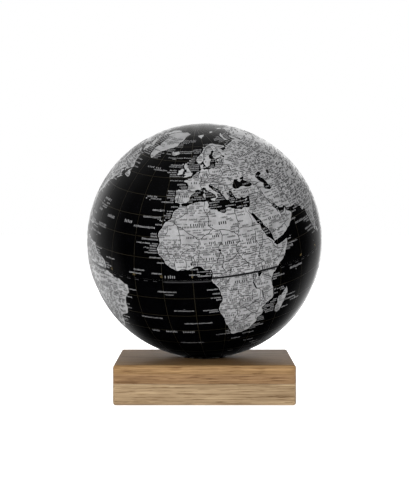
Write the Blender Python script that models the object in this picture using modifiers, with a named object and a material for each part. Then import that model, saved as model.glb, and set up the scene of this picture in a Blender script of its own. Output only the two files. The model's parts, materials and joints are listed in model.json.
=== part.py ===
"""Desktop globe that rolls on a square oak stand.

The globe is a loose ball. It lies on three ball casters in a round black plate,
which is let into the top of the stand, so it can be turned in any direction.

Metres, +Z up. The origin is the middle of the underside. -Y is the front.
"""
import math

import bmesh
import bpy
from mathutils import Matrix, Vector

# Globe
GLOBE_RADIUS = 0.120
SHELL_WALL = 0.002
SHELL_STEPS = 48
SHELL_ARCS = 12
SEAM_GAP = 0.0003
BAND_HALF_WIDTH = 0.0008
BAND_THICKNESS = 0.0002
BAND_GROOVE_DEPTH = 0.0005
JOINT_RING_RADIUS = 0.1172
JOINT_RING_WALL = 0.0016
JOINT_RING_HALF_WIDTH = 0.006

# Rest attitude: the north pole leans towards the front and a little to the left
POLE_LEAN = math.radians(16.3)
POLE_ROLL = math.radians(-4.2)

# Stand
BLOCK_SIDE = 0.1785
BLOCK_HEIGHT = 0.0392
UPPER_BOARD_HEIGHT = 0.0184
GLUE_LINE = 0.0002
EDGE_ROUNDING = 0.0025
GLOBE_CENTRE_ABOVE_BLOCK = 0.11906

# Felt pads under the stand
PAD_RADIUS = 0.010
PAD_HEIGHT = 0.0020
PAD_PROUD = 0.0008
PAD_INSET = 0.019

# Bearing plate, with heights measured from the top of the stand
PLATE_RADIUS = 0.0218
PLATE_RIM_TOP = 0.0002
PLATE_RIM_INNER_RADIUS = 0.0190
PLATE_FLOOR = -0.0025
PLATE_FLOOR_RADIUS = 0.0182
PLATE_BOTTOM = -0.0065

# Ball casters
CASTER_COUNT = 3
CASTER_PITCH_RADIUS = 0.0105
BALL_RADIUS = 0.004
CUP_RADIUS = 0.0053
CUP_FLANGE_RADIUS = 0.0061
CUP_FLANGE_HEIGHT = 0.0012
CUP_BOTTOM_WALL = 0.0014
RING_INNER_RADIUS = 0.0036
RING_OUTER_RADIUS = 0.0072
RING_HEIGHT = 0.0008

# Countersunk wood screws that hold the plate
SCREW_PITCH_RADIUS = 0.0130
SCREW_HEAD_RADIUS = 0.0033
SCREW_SHANK_RADIUS = 0.0016
SCREW_LENGTH = 0.0125
SCREW_POINT = 0.0015
SCREW_HEAD_SUNK = 0.0002
SOCKET_RADIUS = 0.0013
SOCKET_DEPTH = 0.0012

# Gap between pieces that touch
FIT_GAP = 0.0003
CUT_MARGIN = 0.002

# Worked out from the dimensions above
BLOCK_TOP = PAD_PROUD + BLOCK_HEIGHT
GLUE_HEIGHT = BLOCK_TOP - UPPER_BOARD_HEIGHT
GLOBE_CENTRE = Vector((0.0, 0.0, BLOCK_TOP + GLOBE_CENTRE_ABOVE_BLOCK))
BALL_DISTANCE = GLOBE_RADIUS + FIT_GAP + BALL_RADIUS
BALL_HEIGHT = GLOBE_CENTRE.z - math.sqrt(BALL_DISTANCE ** 2 - CASTER_PITCH_RADIUS ** 2)
PLATE_FLOOR_HEIGHT = BLOCK_TOP + PLATE_FLOOR
CUP_CAVITY_RADIUS = BALL_RADIUS + FIT_GAP

COLOURS = {
    "oak_light": ((0.46, 0.33, 0.20, 1.0), 0.55, 0.0),
    "oak_dark": ((0.36, 0.24, 0.14, 1.0), 0.55, 0.0),
    "black_plastic": ((0.012, 0.012, 0.013, 1.0), 0.35, 0.0),
    "white_plastic": ((0.72, 0.72, 0.69, 1.0), 0.40, 0.0),
    "steel": ((0.60, 0.60, 0.62, 1.0), 0.15, 1.0),
    "felt": ((0.03, 0.03, 0.03, 1.0), 0.95, 0.0),
    "printed_shell": ((0.015, 0.015, 0.016, 1.0), 0.22, 0.0),
    "printed_tape": ((0.25, 0.25, 0.26, 1.0), 0.30, 0.0),
    "raw_plastic": ((0.55, 0.55, 0.52, 1.0), 0.50, 0.0),
}


def clear_scene():
    for obj in list(bpy.data.objects):
        bpy.data.objects.remove(obj, do_unlink=True)


def make_collection(name):
    collection = bpy.data.collections.new(name)
    bpy.context.scene.collection.children.link(collection)
    return collection


def get_material(name):
    """Return the Principled material of this name, made on first use."""
    found = bpy.data.materials.get(name)
    if found:
        return found
    colour, roughness, metallic = COLOURS[name]
    material = bpy.data.materials.new(name)
    material.use_nodes = True
    material.diffuse_color = colour
    shader = material.node_tree.nodes["Principled BSDF"]
    shader.inputs["Base Color"].default_value = colour
    shader.inputs["Roughness"].default_value = roughness
    shader.inputs["Metallic"].default_value = metallic
    return material


def move_to(obj, collection):
    for old in list(obj.users_collection):
        old.objects.unlink(obj)
    collection.objects.link(obj)


def finish_part(obj, name, material, parent=None):
    """Name a part, give it its material and put it with the other parts."""
    obj.name = name
    obj.data.name = name
    obj.data.materials.clear()
    obj.data.materials.append(get_material(material))
    move_to(obj, PARTS)
    if parent:
        obj.parent = parent
    return obj


def as_cutter(obj, name):
    obj.name = name
    obj.display_type = "WIRE"
    obj.hide_render = True
    move_to(obj, CUTTERS)
    return obj


def cut(obj, cutter):
    modifier = obj.modifiers.new("cut_" + cutter.name, "BOOLEAN")
    modifier.operation = "DIFFERENCE"
    modifier.solver = "EXACT"
    modifier.object = cutter


def turned(profile, steps, location=(0.0, 0.0, 0.0)):
    """Turn an open profile of (radius, height) points about the Z axis."""
    mesh = bpy.data.meshes.new("turned")
    shape = bmesh.new()
    points = [shape.verts.new((radius, 0.0, height)) for radius, height in profile]
    for first, second in zip(points, points[1:]):
        shape.edges.new((first, second))
    shape.to_mesh(mesh)
    shape.free()
    obj = bpy.data.objects.new("turned", mesh)
    obj.location = location
    bpy.context.scene.collection.objects.link(obj)
    screw = obj.modifiers.new("turn", "SCREW")
    screw.axis = "Z"
    screw.angle = math.tau
    screw.steps = steps
    screw.render_steps = steps
    screw.use_merge_vertices = True
    screw.merge_threshold = 0.000005
    screw.use_smooth_shade = True
    return obj


def turned_ring(profile, steps, location=(0.0, 0.0, 0.0)):
    """Turn a closed profile, given top to bottom on its outer side."""
    return turned(list(profile) + [profile[0]], steps, location)


def cylinder(radius, low, high, centre_xy, sides):
    bpy.ops.mesh.primitive_cylinder_add(
        vertices=sides,
        radius=radius,
        depth=high - low,
        location=(centre_xy[0], centre_xy[1], (low + high) / 2),
    )
    return bpy.context.active_object


def on_circle(radius, angle):
    return (radius * math.cos(angle), radius * math.sin(angle))


def caster_places():
    """Centres of the casters in plan, the first one at the front."""
    return [
        on_circle(CASTER_PITCH_RADIUS, -math.pi / 2 + index * math.tau / CASTER_COUNT)
        for index in range(CASTER_COUNT)
    ]


def screw_places():
    """Centres of the plate's screws, midway between the casters."""
    return [
        on_circle(SCREW_PITCH_RADIUS, math.pi / 2 + index * math.tau / CASTER_COUNT)
        for index in range(CASTER_COUNT)
    ]


def pad_places():
    reach = BLOCK_SIDE / 2 - PAD_INSET
    return [(x, y) for y in (-reach, reach) for x in (-reach, reach)]


def board(low, high, rounded_height):
    """A square board, with its upright edges and one face's edges rounded."""
    bpy.ops.mesh.primitive_cube_add(size=1.0, location=(0.0, 0.0, (low + high) / 2))
    obj = bpy.context.active_object
    obj.data.transform(Matrix.Diagonal((BLOCK_SIDE, BLOCK_SIDE, high - low, 1.0)))
    shape = bmesh.new()
    shape.from_mesh(obj.data)
    weight = shape.edges.layers.float.new("bevel_weight_edge")
    local_height = rounded_height - obj.location.z
    for edge in shape.edges:
        first, second = (corner.co.z for corner in edge.verts)
        upright = abs(first - second) > FIT_GAP
        on_rounded_face = abs(first - local_height) < FIT_GAP and not upright
        edge[weight] = 1.0 if upright or on_rounded_face else 0.0
    shape.to_mesh(obj.data)
    shape.free()
    bevel = obj.modifiers.new("rounding", "BEVEL")
    bevel.limit_method = "WEIGHT"
    bevel.width = EDGE_ROUNDING
    bevel.segments = 3
    return obj


def make_upper_board():
    obj = board(GLUE_HEIGHT + GLUE_LINE / 2, BLOCK_TOP, BLOCK_TOP)
    top = BLOCK_TOP + CUT_MARGIN
    recess_floor = BLOCK_TOP + PLATE_BOTTOM - FIT_GAP
    recess = cylinder(PLATE_RADIUS + FIT_GAP, recess_floor, top, (0.0, 0.0), SHELL_STEPS)
    cut(obj, as_cutter(recess, "recess_cutter"))
    cup_bottom = BALL_HEIGHT - CUP_CAVITY_RADIUS - CUP_BOTTOM_WALL
    for number, place in enumerate(caster_places(), 1):
        bore = cylinder(CUP_RADIUS + FIT_GAP, cup_bottom - FIT_GAP, top, place, 24)
        cut(obj, as_cutter(bore, f"cup_bore_cutter_{number}"))
    screw_tip = PLATE_FLOOR_HEIGHT - SCREW_HEAD_SUNK - SCREW_LENGTH
    for number, place in enumerate(screw_places(), 1):
        pilot = cylinder(SCREW_SHANK_RADIUS + FIT_GAP, screw_tip - FIT_GAP, top, place, 12)
        cut(obj, as_cutter(pilot, f"pilot_cutter_{number}"))
    finish_part(obj, "upper_board", "oak_dark")


def make_lower_board():
    obj = board(PAD_PROUD, GLUE_HEIGHT - GLUE_LINE / 2, PAD_PROUD)
    for number, place in enumerate(pad_places(), 1):
        pocket = cylinder(PAD_RADIUS + FIT_GAP, -CUT_MARGIN, PAD_HEIGHT + FIT_GAP, place, 24)
        cut(obj, as_cutter(pocket, f"pad_pocket_cutter_{number}"))
    finish_part(obj, "lower_board", "oak_light")


def make_foot_pads():
    for number, place in enumerate(pad_places(), 1):
        pad = cylinder(PAD_RADIUS, 0.0, PAD_HEIGHT, place, 24)
        finish_part(pad, f"foot_pad_{number}", "felt")


def countersink_profile(clearance):
    """Head cone and shank hole of a plate screw, wider by a clearance."""
    slant = clearance * math.sqrt(2)
    head_top = -SCREW_HEAD_SUNK
    above = CUT_MARGIN
    cone_top = SCREW_HEAD_RADIUS + above - head_top + slant
    shank = SCREW_SHANK_RADIUS + clearance
    cone_bottom = head_top - (SCREW_HEAD_RADIUS + slant - shank)
    below = PLATE_BOTTOM - PLATE_FLOOR - CUT_MARGIN
    return [(0.0, above), (cone_top, above), (shank, cone_bottom), (shank, below), (0.0, below)]


def make_bearing_plate():
    """A dish with a raised rim, bored for the caster cups and the screws."""
    chamfer = 0.0006
    profile = [
        (0.0, PLATE_FLOOR),
        (PLATE_FLOOR_RADIUS, PLATE_FLOOR),
        (PLATE_RIM_INNER_RADIUS, PLATE_RIM_TOP),
        (PLATE_RADIUS - chamfer, PLATE_RIM_TOP),
        (PLATE_RADIUS, PLATE_RIM_TOP - chamfer),
        (PLATE_RADIUS, PLATE_BOTTOM),
        (0.0, PLATE_BOTTOM),
    ]
    obj = turned(profile, SHELL_STEPS, (0.0, 0.0, BLOCK_TOP))
    below = BLOCK_TOP + PLATE_BOTTOM - CUT_MARGIN
    above = PLATE_FLOOR_HEIGHT + CUT_MARGIN / 2
    flange_seat = PLATE_FLOOR_HEIGHT - CUP_FLANGE_HEIGHT - FIT_GAP
    for number, place in enumerate(caster_places(), 1):
        bore = cylinder(CUP_RADIUS + FIT_GAP, below, above, place, 24)
        cut(obj, as_cutter(bore, f"plate_bore_cutter_{number}"))
        seat = cylinder(CUP_FLANGE_RADIUS + FIT_GAP, flange_seat, above, place, 24)
        cut(obj, as_cutter(seat, f"flange_seat_cutter_{number}"))
    for number, place in enumerate(screw_places(), 1):
        hole = turned(countersink_profile(FIT_GAP), 16, (*place, PLATE_FLOOR_HEIGHT))
        cut(obj, as_cutter(hole, f"countersink_cutter_{number}"))
    finish_part(obj, "bearing_plate", "black_plastic")


def cup_profile():
    """A flanged cup around the support ball, whose centre is the origin."""
    top = PLATE_FLOOR_HEIGHT - BALL_HEIGHT
    flange_bottom = top - CUP_FLANGE_HEIGHT
    bottom = -CUP_CAVITY_RADIUS - CUP_BOTTOM_WALL
    chamfer = 0.0008
    outside = [
        (CUP_CAVITY_RADIUS, top),
        (CUP_FLANGE_RADIUS, top),
        (CUP_FLANGE_RADIUS, flange_bottom),
        (CUP_RADIUS, flange_bottom),
        (CUP_RADIUS, bottom + chamfer),
        (CUP_RADIUS - chamfer, bottom),
        (0.0, bottom),
    ]
    arcs = 5
    cavity = [
        (CUP_CAVITY_RADIUS * math.sin(angle), -CUP_CAVITY_RADIUS * math.cos(angle))
        for angle in (index * math.pi / 2 / arcs for index in range(arcs + 1))
    ]
    cavity[0] = (0.0, -CUP_CAVITY_RADIUS)
    return cavity + outside


def make_casters():
    ring_bottom = PLATE_FLOOR_HEIGHT - BALL_HEIGHT + FIT_GAP
    ring_profile = [
        (RING_INNER_RADIUS, ring_bottom + RING_HEIGHT),
        (RING_OUTER_RADIUS, ring_bottom + RING_HEIGHT),
        (RING_OUTER_RADIUS, ring_bottom),
        (RING_INNER_RADIUS, ring_bottom),
    ]
    for number, place in enumerate(caster_places(), 1):
        centre = (*place, BALL_HEIGHT)
        cup = turned(cup_profile(), 24, centre)
        finish_part(cup, f"caster_cup_{number}", "white_plastic")
        ring = turned_ring(ring_profile, 24, centre)
        finish_part(ring, f"retaining_ring_{number}", "steel")
        bpy.ops.mesh.primitive_uv_sphere_add(
            segments=20, ring_count=10, radius=BALL_RADIUS, location=centre
        )
        ball = bpy.context.active_object
        ball.data.shade_smooth()
        finish_part(ball, f"support_ball_{number}", "steel")


def make_plate_screws():
    head_depth = SCREW_HEAD_RADIUS - SCREW_SHANK_RADIUS
    profile = [
        (0.0, 0.0),
        (SCREW_HEAD_RADIUS, 0.0),
        (SCREW_SHANK_RADIUS, -head_depth),
        (SCREW_SHANK_RADIUS, SCREW_POINT - SCREW_LENGTH),
        (0.0, -SCREW_LENGTH),
    ]
    head_top = PLATE_FLOOR_HEIGHT - SCREW_HEAD_SUNK
    for number, place in enumerate(screw_places(), 1):
        screw = turned(profile, 16, (*place, head_top))
        socket = cylinder(SOCKET_RADIUS, head_top - SOCKET_DEPTH, head_top + CUT_MARGIN, place, 6)
        cut(screw, as_cutter(socket, f"socket_cutter_{number}"))
        finish_part(screw, f"plate_screw_{number}", "steel")


def shell_profile():
    """Northern half of the shell: down the outside, across the seam, up the inside."""
    groove_edge = BAND_HALF_WIDTH + FIT_GAP
    seam = SEAM_GAP / 2
    inner = GLOBE_RADIUS - SHELL_WALL
    first_angle = math.asin(groove_edge / GLOBE_RADIUS)
    outside = []
    for index in range(SHELL_ARCS + 1):
        angle = math.pi / 2 - (math.pi / 2 - first_angle) * index / SHELL_ARCS
        outside.append((GLOBE_RADIUS * math.cos(angle), GLOBE_RADIUS * math.sin(angle)))
    outside[0] = (0.0, GLOBE_RADIUS)
    groove_floor = GLOBE_RADIUS - BAND_GROOVE_DEPTH
    seam_side = [(groove_floor, groove_edge), (groove_floor, seam), (inner, seam)]
    inner_arcs = SHELL_ARCS - 3
    inside = []
    for index in range(1, inner_arcs + 1):
        angle = math.pi / 2 * index / inner_arcs
        inside.append((inner * math.cos(angle), inner * math.sin(angle)))
    inside[-1] = (0.0, inner)
    return outside + seam_side + inside


def mirrored(profile):
    """The same profile below the equator, still running down its outer side."""
    return [(radius, -height) for radius, height in reversed(profile)]


def make_globe():
    """Two half shells, the ring that joins them inside, and the tape on the seam."""
    pivot = bpy.data.objects.new("polar_axis", None)
    pivot.location = GLOBE_CENTRE
    pivot.rotation_euler = (POLE_LEAN, POLE_ROLL, 0.0)
    PARTS.objects.link(pivot)
    north = turned(shell_profile(), SHELL_STEPS)
    finish_part(north, "north_hemisphere", "printed_shell", pivot)
    south = turned(mirrored(shell_profile()), SHELL_STEPS)
    finish_part(south, "south_hemisphere", "printed_shell", pivot)
    ring = turned_ring(
        [
            (JOINT_RING_RADIUS, JOINT_RING_HALF_WIDTH),
            (JOINT_RING_RADIUS, -JOINT_RING_HALF_WIDTH),
            (JOINT_RING_RADIUS - JOINT_RING_WALL, -JOINT_RING_HALF_WIDTH),
            (JOINT_RING_RADIUS - JOINT_RING_WALL, JOINT_RING_HALF_WIDTH),
        ],
        SHELL_STEPS,
    )
    finish_part(ring, "joint_ring", "raw_plastic", pivot)
    band = turned_ring(
        [
            (GLOBE_RADIUS, BAND_HALF_WIDTH),
            (GLOBE_RADIUS, -BAND_HALF_WIDTH),
            (GLOBE_RADIUS - BAND_THICKNESS, -BAND_HALF_WIDTH),
            (GLOBE_RADIUS - BAND_THICKNESS, BAND_HALF_WIDTH),
        ],
        SHELL_STEPS,
    )
    finish_part(band, "equator_band", "printed_tape", pivot)


clear_scene()
PARTS = make_collection("desktop_globe")
CUTTERS = make_collection("cutters")
make_lower_board()
make_upper_board()
make_foot_pads()
make_bearing_plate()
make_casters()
make_plate_screws()
make_globe()
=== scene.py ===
"""The looks of a desktop globe on a stand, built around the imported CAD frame.

Lengths are in metres. Places on the map are in degrees, longitude east and latitude north.
"""

import json
import math
import random

import bmesh
import bpy
import numpy as np
from mathutils import Matrix, Vector, geometry


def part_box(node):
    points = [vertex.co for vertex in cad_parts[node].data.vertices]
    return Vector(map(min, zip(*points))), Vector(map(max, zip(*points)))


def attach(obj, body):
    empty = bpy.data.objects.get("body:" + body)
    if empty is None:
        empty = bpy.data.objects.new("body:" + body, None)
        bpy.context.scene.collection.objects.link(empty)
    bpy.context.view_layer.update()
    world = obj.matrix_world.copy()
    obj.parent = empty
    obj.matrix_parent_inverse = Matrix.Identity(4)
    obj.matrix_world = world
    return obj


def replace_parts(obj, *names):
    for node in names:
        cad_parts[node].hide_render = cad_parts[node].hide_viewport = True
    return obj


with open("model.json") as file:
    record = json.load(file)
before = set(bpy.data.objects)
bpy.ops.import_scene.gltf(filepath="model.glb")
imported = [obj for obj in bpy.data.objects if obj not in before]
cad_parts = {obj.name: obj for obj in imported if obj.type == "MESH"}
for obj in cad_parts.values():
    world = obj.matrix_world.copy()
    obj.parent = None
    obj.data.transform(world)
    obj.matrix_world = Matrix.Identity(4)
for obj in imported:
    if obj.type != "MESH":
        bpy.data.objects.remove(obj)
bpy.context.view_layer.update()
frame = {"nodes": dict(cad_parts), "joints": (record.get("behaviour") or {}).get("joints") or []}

# The ball and its map, in the row frame. The print is drawn this much of a radius towards the facing
# longitude, along the equator's plane, which makes it a little smaller there and larger behind.
SPIN = next(joint for joint in frame["joints"] if joint["name"] == "globe_spin")
CENTRE = Vector(SPIN["pos_m"])
POLE = Vector(SPIN["axis"]).normalized()
FACING_LONGITUDE = 6.8
PRINT_SHIFT = 0.037
RADIUS = 0.120
WALL = 0.002

# The printed tape over the joint of the half shells.
TAPE_HALF_WIDTH = 0.0008
TAPE_THICKNESS = 0.0004
TAPE_EDGE = math.degrees(TAPE_HALF_WIDTH / RADIUS)
SEAM_GAP = 0.00005

# Ink and thin lines stand this far above the shell and reach this far into it.
INK_HEIGHT = 0.00004
INK_DEPTH = 0.00006

# How fine the map is, in degrees.
COAST_STEP = 0.55
COAST_WOBBLE = 0.10
MESH_STEP = 2.6
INNER_STEP = 3 * MESH_STEP
MASK_STEP = 0.2

# Coasts, as rings of longitude and latitude. Longitudes past 180 carry on over the date line.
LAND = {
    "africa": """
-5.9 35.8, -5.3 35.9, -4.4 35.2, -3 35.3, -2 35.1, -0.7 35.7, 0.3 36.1, 1.5 36.5, 3 36.8, 4.8 36.9,
6.4 37.1, 7.8 36.9, 8.8 36.95, 9.8 37.3, 10.2 36.8, 11 37.05, 10.5 36.3, 10.7 35.7, 11.1 35.2,
10.7 34.7, 10 34.1, 10.9 33.7, 11.2 33.2, 12.3 32.8, 13.2 32.9, 14.3 32.6, 15.2 32.4, 15.5 31.5,
16.8 31.2, 18 30.6, 19.2 30.3, 20.1 31, 20.1 32.1, 21 32.8, 22 32.9, 23.1 32.6, 23.3 32.2, 25.1 31.6,
27.2 31.35, 29 30.85, 30 31.3, 31 31.6, 32.3 31.3, 32.6 30.5, 32.5 29.9, 32.6 29, 33.5 27.9, 33.9 26.9,
34.4 25.9, 35.2 24.5, 35.6 23.9, 35.6 22.9, 36.9 22, 37.2 21, 37.3 19.6, 38.1 18.2, 38.7 17.5,
39.4 15.6, 40.8 14.7, 42.3 13.2, 43.2 12.5, 42.6 11.5, 43.3 11.4, 44.3 10.4, 45.3 10.5, 46.8 10.8,
48.9 11.3, 51.1 11.9, 51.1 10.6, 50.8 9.4, 49.8 8, 49 6.6, 48 4.5, 46.3 2.7, 45.2 2, 44 1, 42.6 -0.4,
41.5 -1.8, 40.3 -2.6, 40 -3.4, 39.5 -4.5, 38.8 -5.9, 39.4 -6.9, 39.5 -8.5, 40.3 -10.3, 40.5 -12.8,
40.8 -14.7, 40.2 -16, 38.5 -17.1, 37 -17.9, 36.2 -18.9, 34.9 -19.8, 34.7 -20.6, 35.4 -21.6, 35.5 -23.9,
34.5 -24.7, 32.9 -25.5, 32.8 -26.3, 32.8 -27.6, 32.2 -28.7, 31 -29.9, 30 -31.2, 28.8 -32.5, 27.6 -33.2,
25.9 -33.8, 24.8 -34.2, 22.6 -34, 21.5 -34.4, 20 -34.8, 18.9 -34.4, 18.4 -34.2, 18.4 -33.6, 17.9 -33,
18.3 -32.4, 17.6 -30.9, 16.5 -28.6, 15.3 -26.9, 14.9 -25.5, 14.5 -23.8, 14.4 -22.5, 13.4 -20.9,
12.3 -18.7, 11.8 -17.2, 11.8 -15.9, 12.5 -13.9, 13.6 -12.4, 13.8 -10.9, 13.1 -9, 12.9 -7.6, 12.3 -6.1,
12 -5.1, 11.1 -3.9, 9.7 -2.5, 8.8 -1, 9.3 0.3, 9.6 1, 9.8 2.6, 9.6 3.8, 8.9 4.5, 7.5 4.4, 6.1 4.3,
5.3 5.2, 4.6 6.2, 3.4 6.4, 1.3 6.1, -0.2 5.5, -2 4.75, -3.9 5.3, -5.6 5, -7.5 4.35, -9.2 5.5, -10.8 6.3,
-12 7.1, -13.2 8.3, -13.6 9.5, -14.8 10.8, -15.9 11.7, -16.8 12.6, -16.7 13.6, -17.4 14.7, -16.6 15.8,
-16.1 17.6, -16.2 19.1, -16.4 20.3, -17 20.8, -16.9 21.9, -16 23.4, -14.9 24.8, -14.4 26.2, -12.9 27.9,
-11.3 28.6, -9.8 29.9, -9.8 31.4, -9.2 32.4, -8.3 33.4, -6.9 34, -6.3 35""",
    "eurasia": """
32.6 29.9, 33.2 28.6, 34.2 27.8, 34.7 28.7, 34.95 29.5, 34.7 28.1, 35.5 27.6, 36.7 25.9, 37.2 25,
38.1 24, 39 22.2, 39.2 21.3, 40.4 20, 41.3 18.8, 42.3 17.2, 42.8 15.5, 43.2 13.4, 43.6 12.7, 45.1 12.9,
46.6 13.4, 48.7 14, 50.5 15, 52.2 15.7, 53.5 16.7, 55 17.1, 55.4 17.8, 57 18.9, 57.8 19, 57.8 20.2,
59 21.2, 59.8 22.5, 58.6 23.6, 57 24.1, 56.4 24.9, 56.4 26.3, 55.6 25.6, 54.3 24.4, 52.6 24.2,
51.6 24.3, 51.5 25.4, 51.2 26.1, 50.8 25.5, 50.7 24.9, 50.1 25.9, 50 26.8, 48.8 27.8, 48.2 29, 48 30,
49 30.3, 50.1 30.1, 50.9 28.9, 51.6 27.8, 53 26.9, 54.7 26.5, 56.3 27.1, 57 26.8, 57.3 25.7, 59 25.4,
61.6 25.1, 64.2 25.3, 66.5 25.4, 67.1 24.5, 68 23.6, 70.2 22.9, 69 22.3, 70.2 20.9, 71.1 20.8,
72.2 21.3, 72.5 22.2, 72.8 20.8, 72.8 19, 73.3 17, 73.9 15.3, 74.8 12.9, 75.8 11.2, 76.4 9.6, 77.5 8.1,
78.2 8.9, 79.2 9.3, 79 10, 79.8 10.4, 79.8 12, 80.3 13.3, 80.1 15.1, 81.2 15.8, 82.3 16.7, 83.4 17.7,
85 19.3, 86.6 20.1, 87 21.4, 88.2 21.7, 90 21.8, 90.7 22.6, 91.8 22.3, 92.3 20.8, 93.7 19.5, 94.5 17.8,
94.3 16, 95.4 15.8, 96.2 16.5, 97.2 17, 97.6 16, 98 14.2, 98.7 12.2, 98.6 10, 98.3 8, 99.3 7.2,
100.3 6.2, 100.6 4.4, 101.4 2.8, 103.4 1.4, 104.2 1.4, 103.5 2.8, 103.4 4.5, 102.2 6.2, 100.8 7,
100 8.6, 99.3 9.4, 99.4 11.2, 100 12.6, 100.2 13.4, 100.9 13.3, 101 12.6, 102.4 12.1, 103.2 10.8,
104.8 10.3, 104.8 8.7, 106.3 9.5, 107 10.5, 109.1 11.6, 109.3 13.4, 108.8 15.3, 107.2 16.8, 105.8 18.8,
106 20, 107.5 21.2, 109.5 21.5, 109.9 20.4, 110.4 20.5, 110.8 21.4, 113.5 22.1, 115.5 22.8, 117 23.6,
118.8 24.8, 119.8 26.2, 121.2 28.1, 122 29.7, 120.9 30.4, 121.9 31.1, 121.6 32.2, 120.3 34, 119.2 34.9,
120.4 36, 122.5 37, 121 37.7, 119.2 37.2, 117.8 38.6, 118.5 39.2, 121 40.8, 121.9 40.5, 121.3 39.2,
122.9 39.6, 124.6 39.8, 125 38.6, 126.6 37.4, 126.4 36, 126.4 34.6, 128 34.8, 129.3 35.4, 129.3 37,
127.5 39.3, 129.7 41, 130.8 42.4, 132.5 43.2, 135.3 44.1, 138 46.4, 140.3 48.4, 140.6 50.6, 141.4 52.4,
139.8 54.2, 137.4 53.9, 135.3 54.8, 138 56.3, 142.3 59.1, 146 59.4, 149 59.6, 152.3 59, 155 59.4,
157 61.6, 160.3 61.8, 163 62.5, 162.8 61.5, 160 60.4, 158.5 58.5, 156.4 57.2, 155.6 55, 156.2 52.5,
156.8 51.1, 158.4 52.6, 160 53.4, 161.9 54.6, 162.4 56.2, 163.2 57.8, 166 59.9, 170.3 60, 173 61.5,
177.5 62.6, 179.3 62.6, 178 64.4, 180 65, 184 65.5, 187 64.4, 190 66.1, 187 67, 180 68.9, 176 69.8,
170.8 69, 167 69.6, 160.5 69.6, 158 71, 150 71.6, 141 72.6, 138 71.6, 131 70.9, 128 72.3, 126 73.5,
119 73, 113.5 73.4, 113 75.2, 108 76.6, 104.5 77.6, 99 76.3, 91 75.7, 86.5 74.6, 86.5 73.5, 80.5 73.6,
80.8 72, 77.5 72.4, 74.8 72.8, 73.7 71, 74.3 69, 77.5 67.7, 73.9 67.1, 72 66.3, 72.8 68, 72.5 71, 71 73,
68.8 72.6, 66.8 70.6, 68.8 68.4, 64.5 69.3, 60.5 69.8, 60.5 68.7, 54 68.4, 47.8 67.6, 45.5 67.1,
43.4 68.6, 44.2 66.2, 41.5 66.4, 39.9 65.2, 40.5 64.6, 37.5 65, 37.6 63.9, 34.8 64.5, 34.6 65.9,
32.6 67.1, 36 66.3, 40.8 66.5, 41 67.4, 36 69.1, 33 69.5, 31 70.3, 28 71, 25.5 71.1, 21.5 70.3,
18.5 69.6, 15.5 68.6, 13.5 67, 12 65.6, 10.6 64.5, 8.5 63.4, 5.5 62.2, 5 61, 5.3 59.3, 6.6 58.1,
8.2 58.1, 9.8 58.9, 10.6 59.6, 11.3 58.8, 11.9 57.5, 12.8 56.3, 12.9 55.5, 14.3 55.5, 14.7 56.1,
16.1 56.3, 16.7 57.8, 17.5 58.7, 18.9 59.8, 17.3 60.7, 17.3 62.1, 18.5 63, 20.9 64, 21.6 65.3,
24.2 65.8, 25.3 65, 22.6 63.6, 21.3 62.6, 21.4 60.9, 23 59.9, 25.5 60.3, 28 60.5, 30.1 59.9, 28 59.6,
24.5 59.4, 23.5 58.9, 24.4 58.2, 24.2 57.1, 23.2 57, 22.6 57.7, 21.4 57.3, 21 56, 20.5 54.9, 19 54.4,
17 54.6, 14.3 53.9, 12.5 54.4, 11 54, 9.9 54.8, 9.7 55.6, 10.8 56.4, 10.5 57.6, 9.4 57.1, 8.2 57,
8.2 55.8, 8.8 54.2, 7.1 53.5, 4.9 53, 4 51.9, 2 51, 1.5 50.1, 0.2 49.5, -1.2 49.4, -1.8 49.7, -1.6 48.7,
-3.2 48.8, -4.7 48.4, -4.2 47.8, -2.2 47.2, -1.2 46, -1.2 44.5, -1.8 43.4, -3.8 43.5, -7.8 43.7,
-9.2 43.1, -8.8 41.5, -8.9 40.2, -9.4 38.8, -8.8 38.3, -8.9 37, -7.4 37.1, -6.3 36.6, -5.5 36,
-4.4 36.7, -2.2 36.8, -1.5 37.5, -0.7 37.7, 0 38.7, -0.3 39.5, 0.8 40.8, 2.3 41.5, 3.2 42, 3.2 43.1,
4.8 43.4, 6.3 43.1, 7.5 43.8, 8.8 44.4, 10.2 43.9, 10.7 42.8, 12.3 41.7, 13.7 41.2, 14.5 40.6, 15.6 40,
16.1 38.8, 15.7 38, 16.6 38.4, 17.1 39.1, 16.6 39.8, 17 40.5, 18.4 39.8, 18.4 40.3, 16.9 41.1,
15.9 41.5, 16.1 41.9, 14.9 42.1, 13.7 43.5, 12.4 44.3, 12.3 45.3, 13.6 45.7, 13.8 44.9, 14.8 45,
15.6 43.9, 17.5 43, 19.4 41.9, 19.4 40.4, 20.7 38.9, 21.3 37.7, 21.8 36.8, 22.5 36.5, 23.1 36.6,
23.1 37.4, 24 37.7, 23.3 38.7, 22.8 39.4, 22.8 40.4, 24.2 40, 24.5 40.9, 26.1 40.7, 26.3 39.5,
26.9 38.4, 27.4 37.1, 28.5 36.7, 29.3 36.3, 30.5 36.4, 30.8 36.9, 32.4 36.1, 34 36.3, 35 36.7,
36.1 36.8, 35.8 35.5, 35.4 33.8, 34.9 32.6, 34.2 31.3, 33 31.1, 32.3 31.3, 32.4 30.5""",
    "britain": """
-5.7 50.1, -3.6 50.3, -1.5 50.7, 1.3 51.1, 0.7 51.5, 1.7 52.6, 0.3 52.9, 0.1 53.6, -1.3 54.8, -2.1 55.9,
-3.2 56, -2.1 57.3, -4 57.6, -3.1 58.6, -5 58.6, -5.8 57.4, -6 56.4, -4.9 55.3, -5 54.8, -3.3 54.9,
-3 53.3, -4.5 53.3, -4.2 52.3, -5.2 51.8, -3.2 51.4, -4.3 51.1""",
    "ireland": """
-6.2 52.3, -6 53.6, -5.5 54.5, -6.3 55.2, -7.8 55.3, -8.4 54.5, -10 54.2, -9.4 53.2, -10.3 52.1,
-9.7 51.5, -8.2 51.8""",
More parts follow.
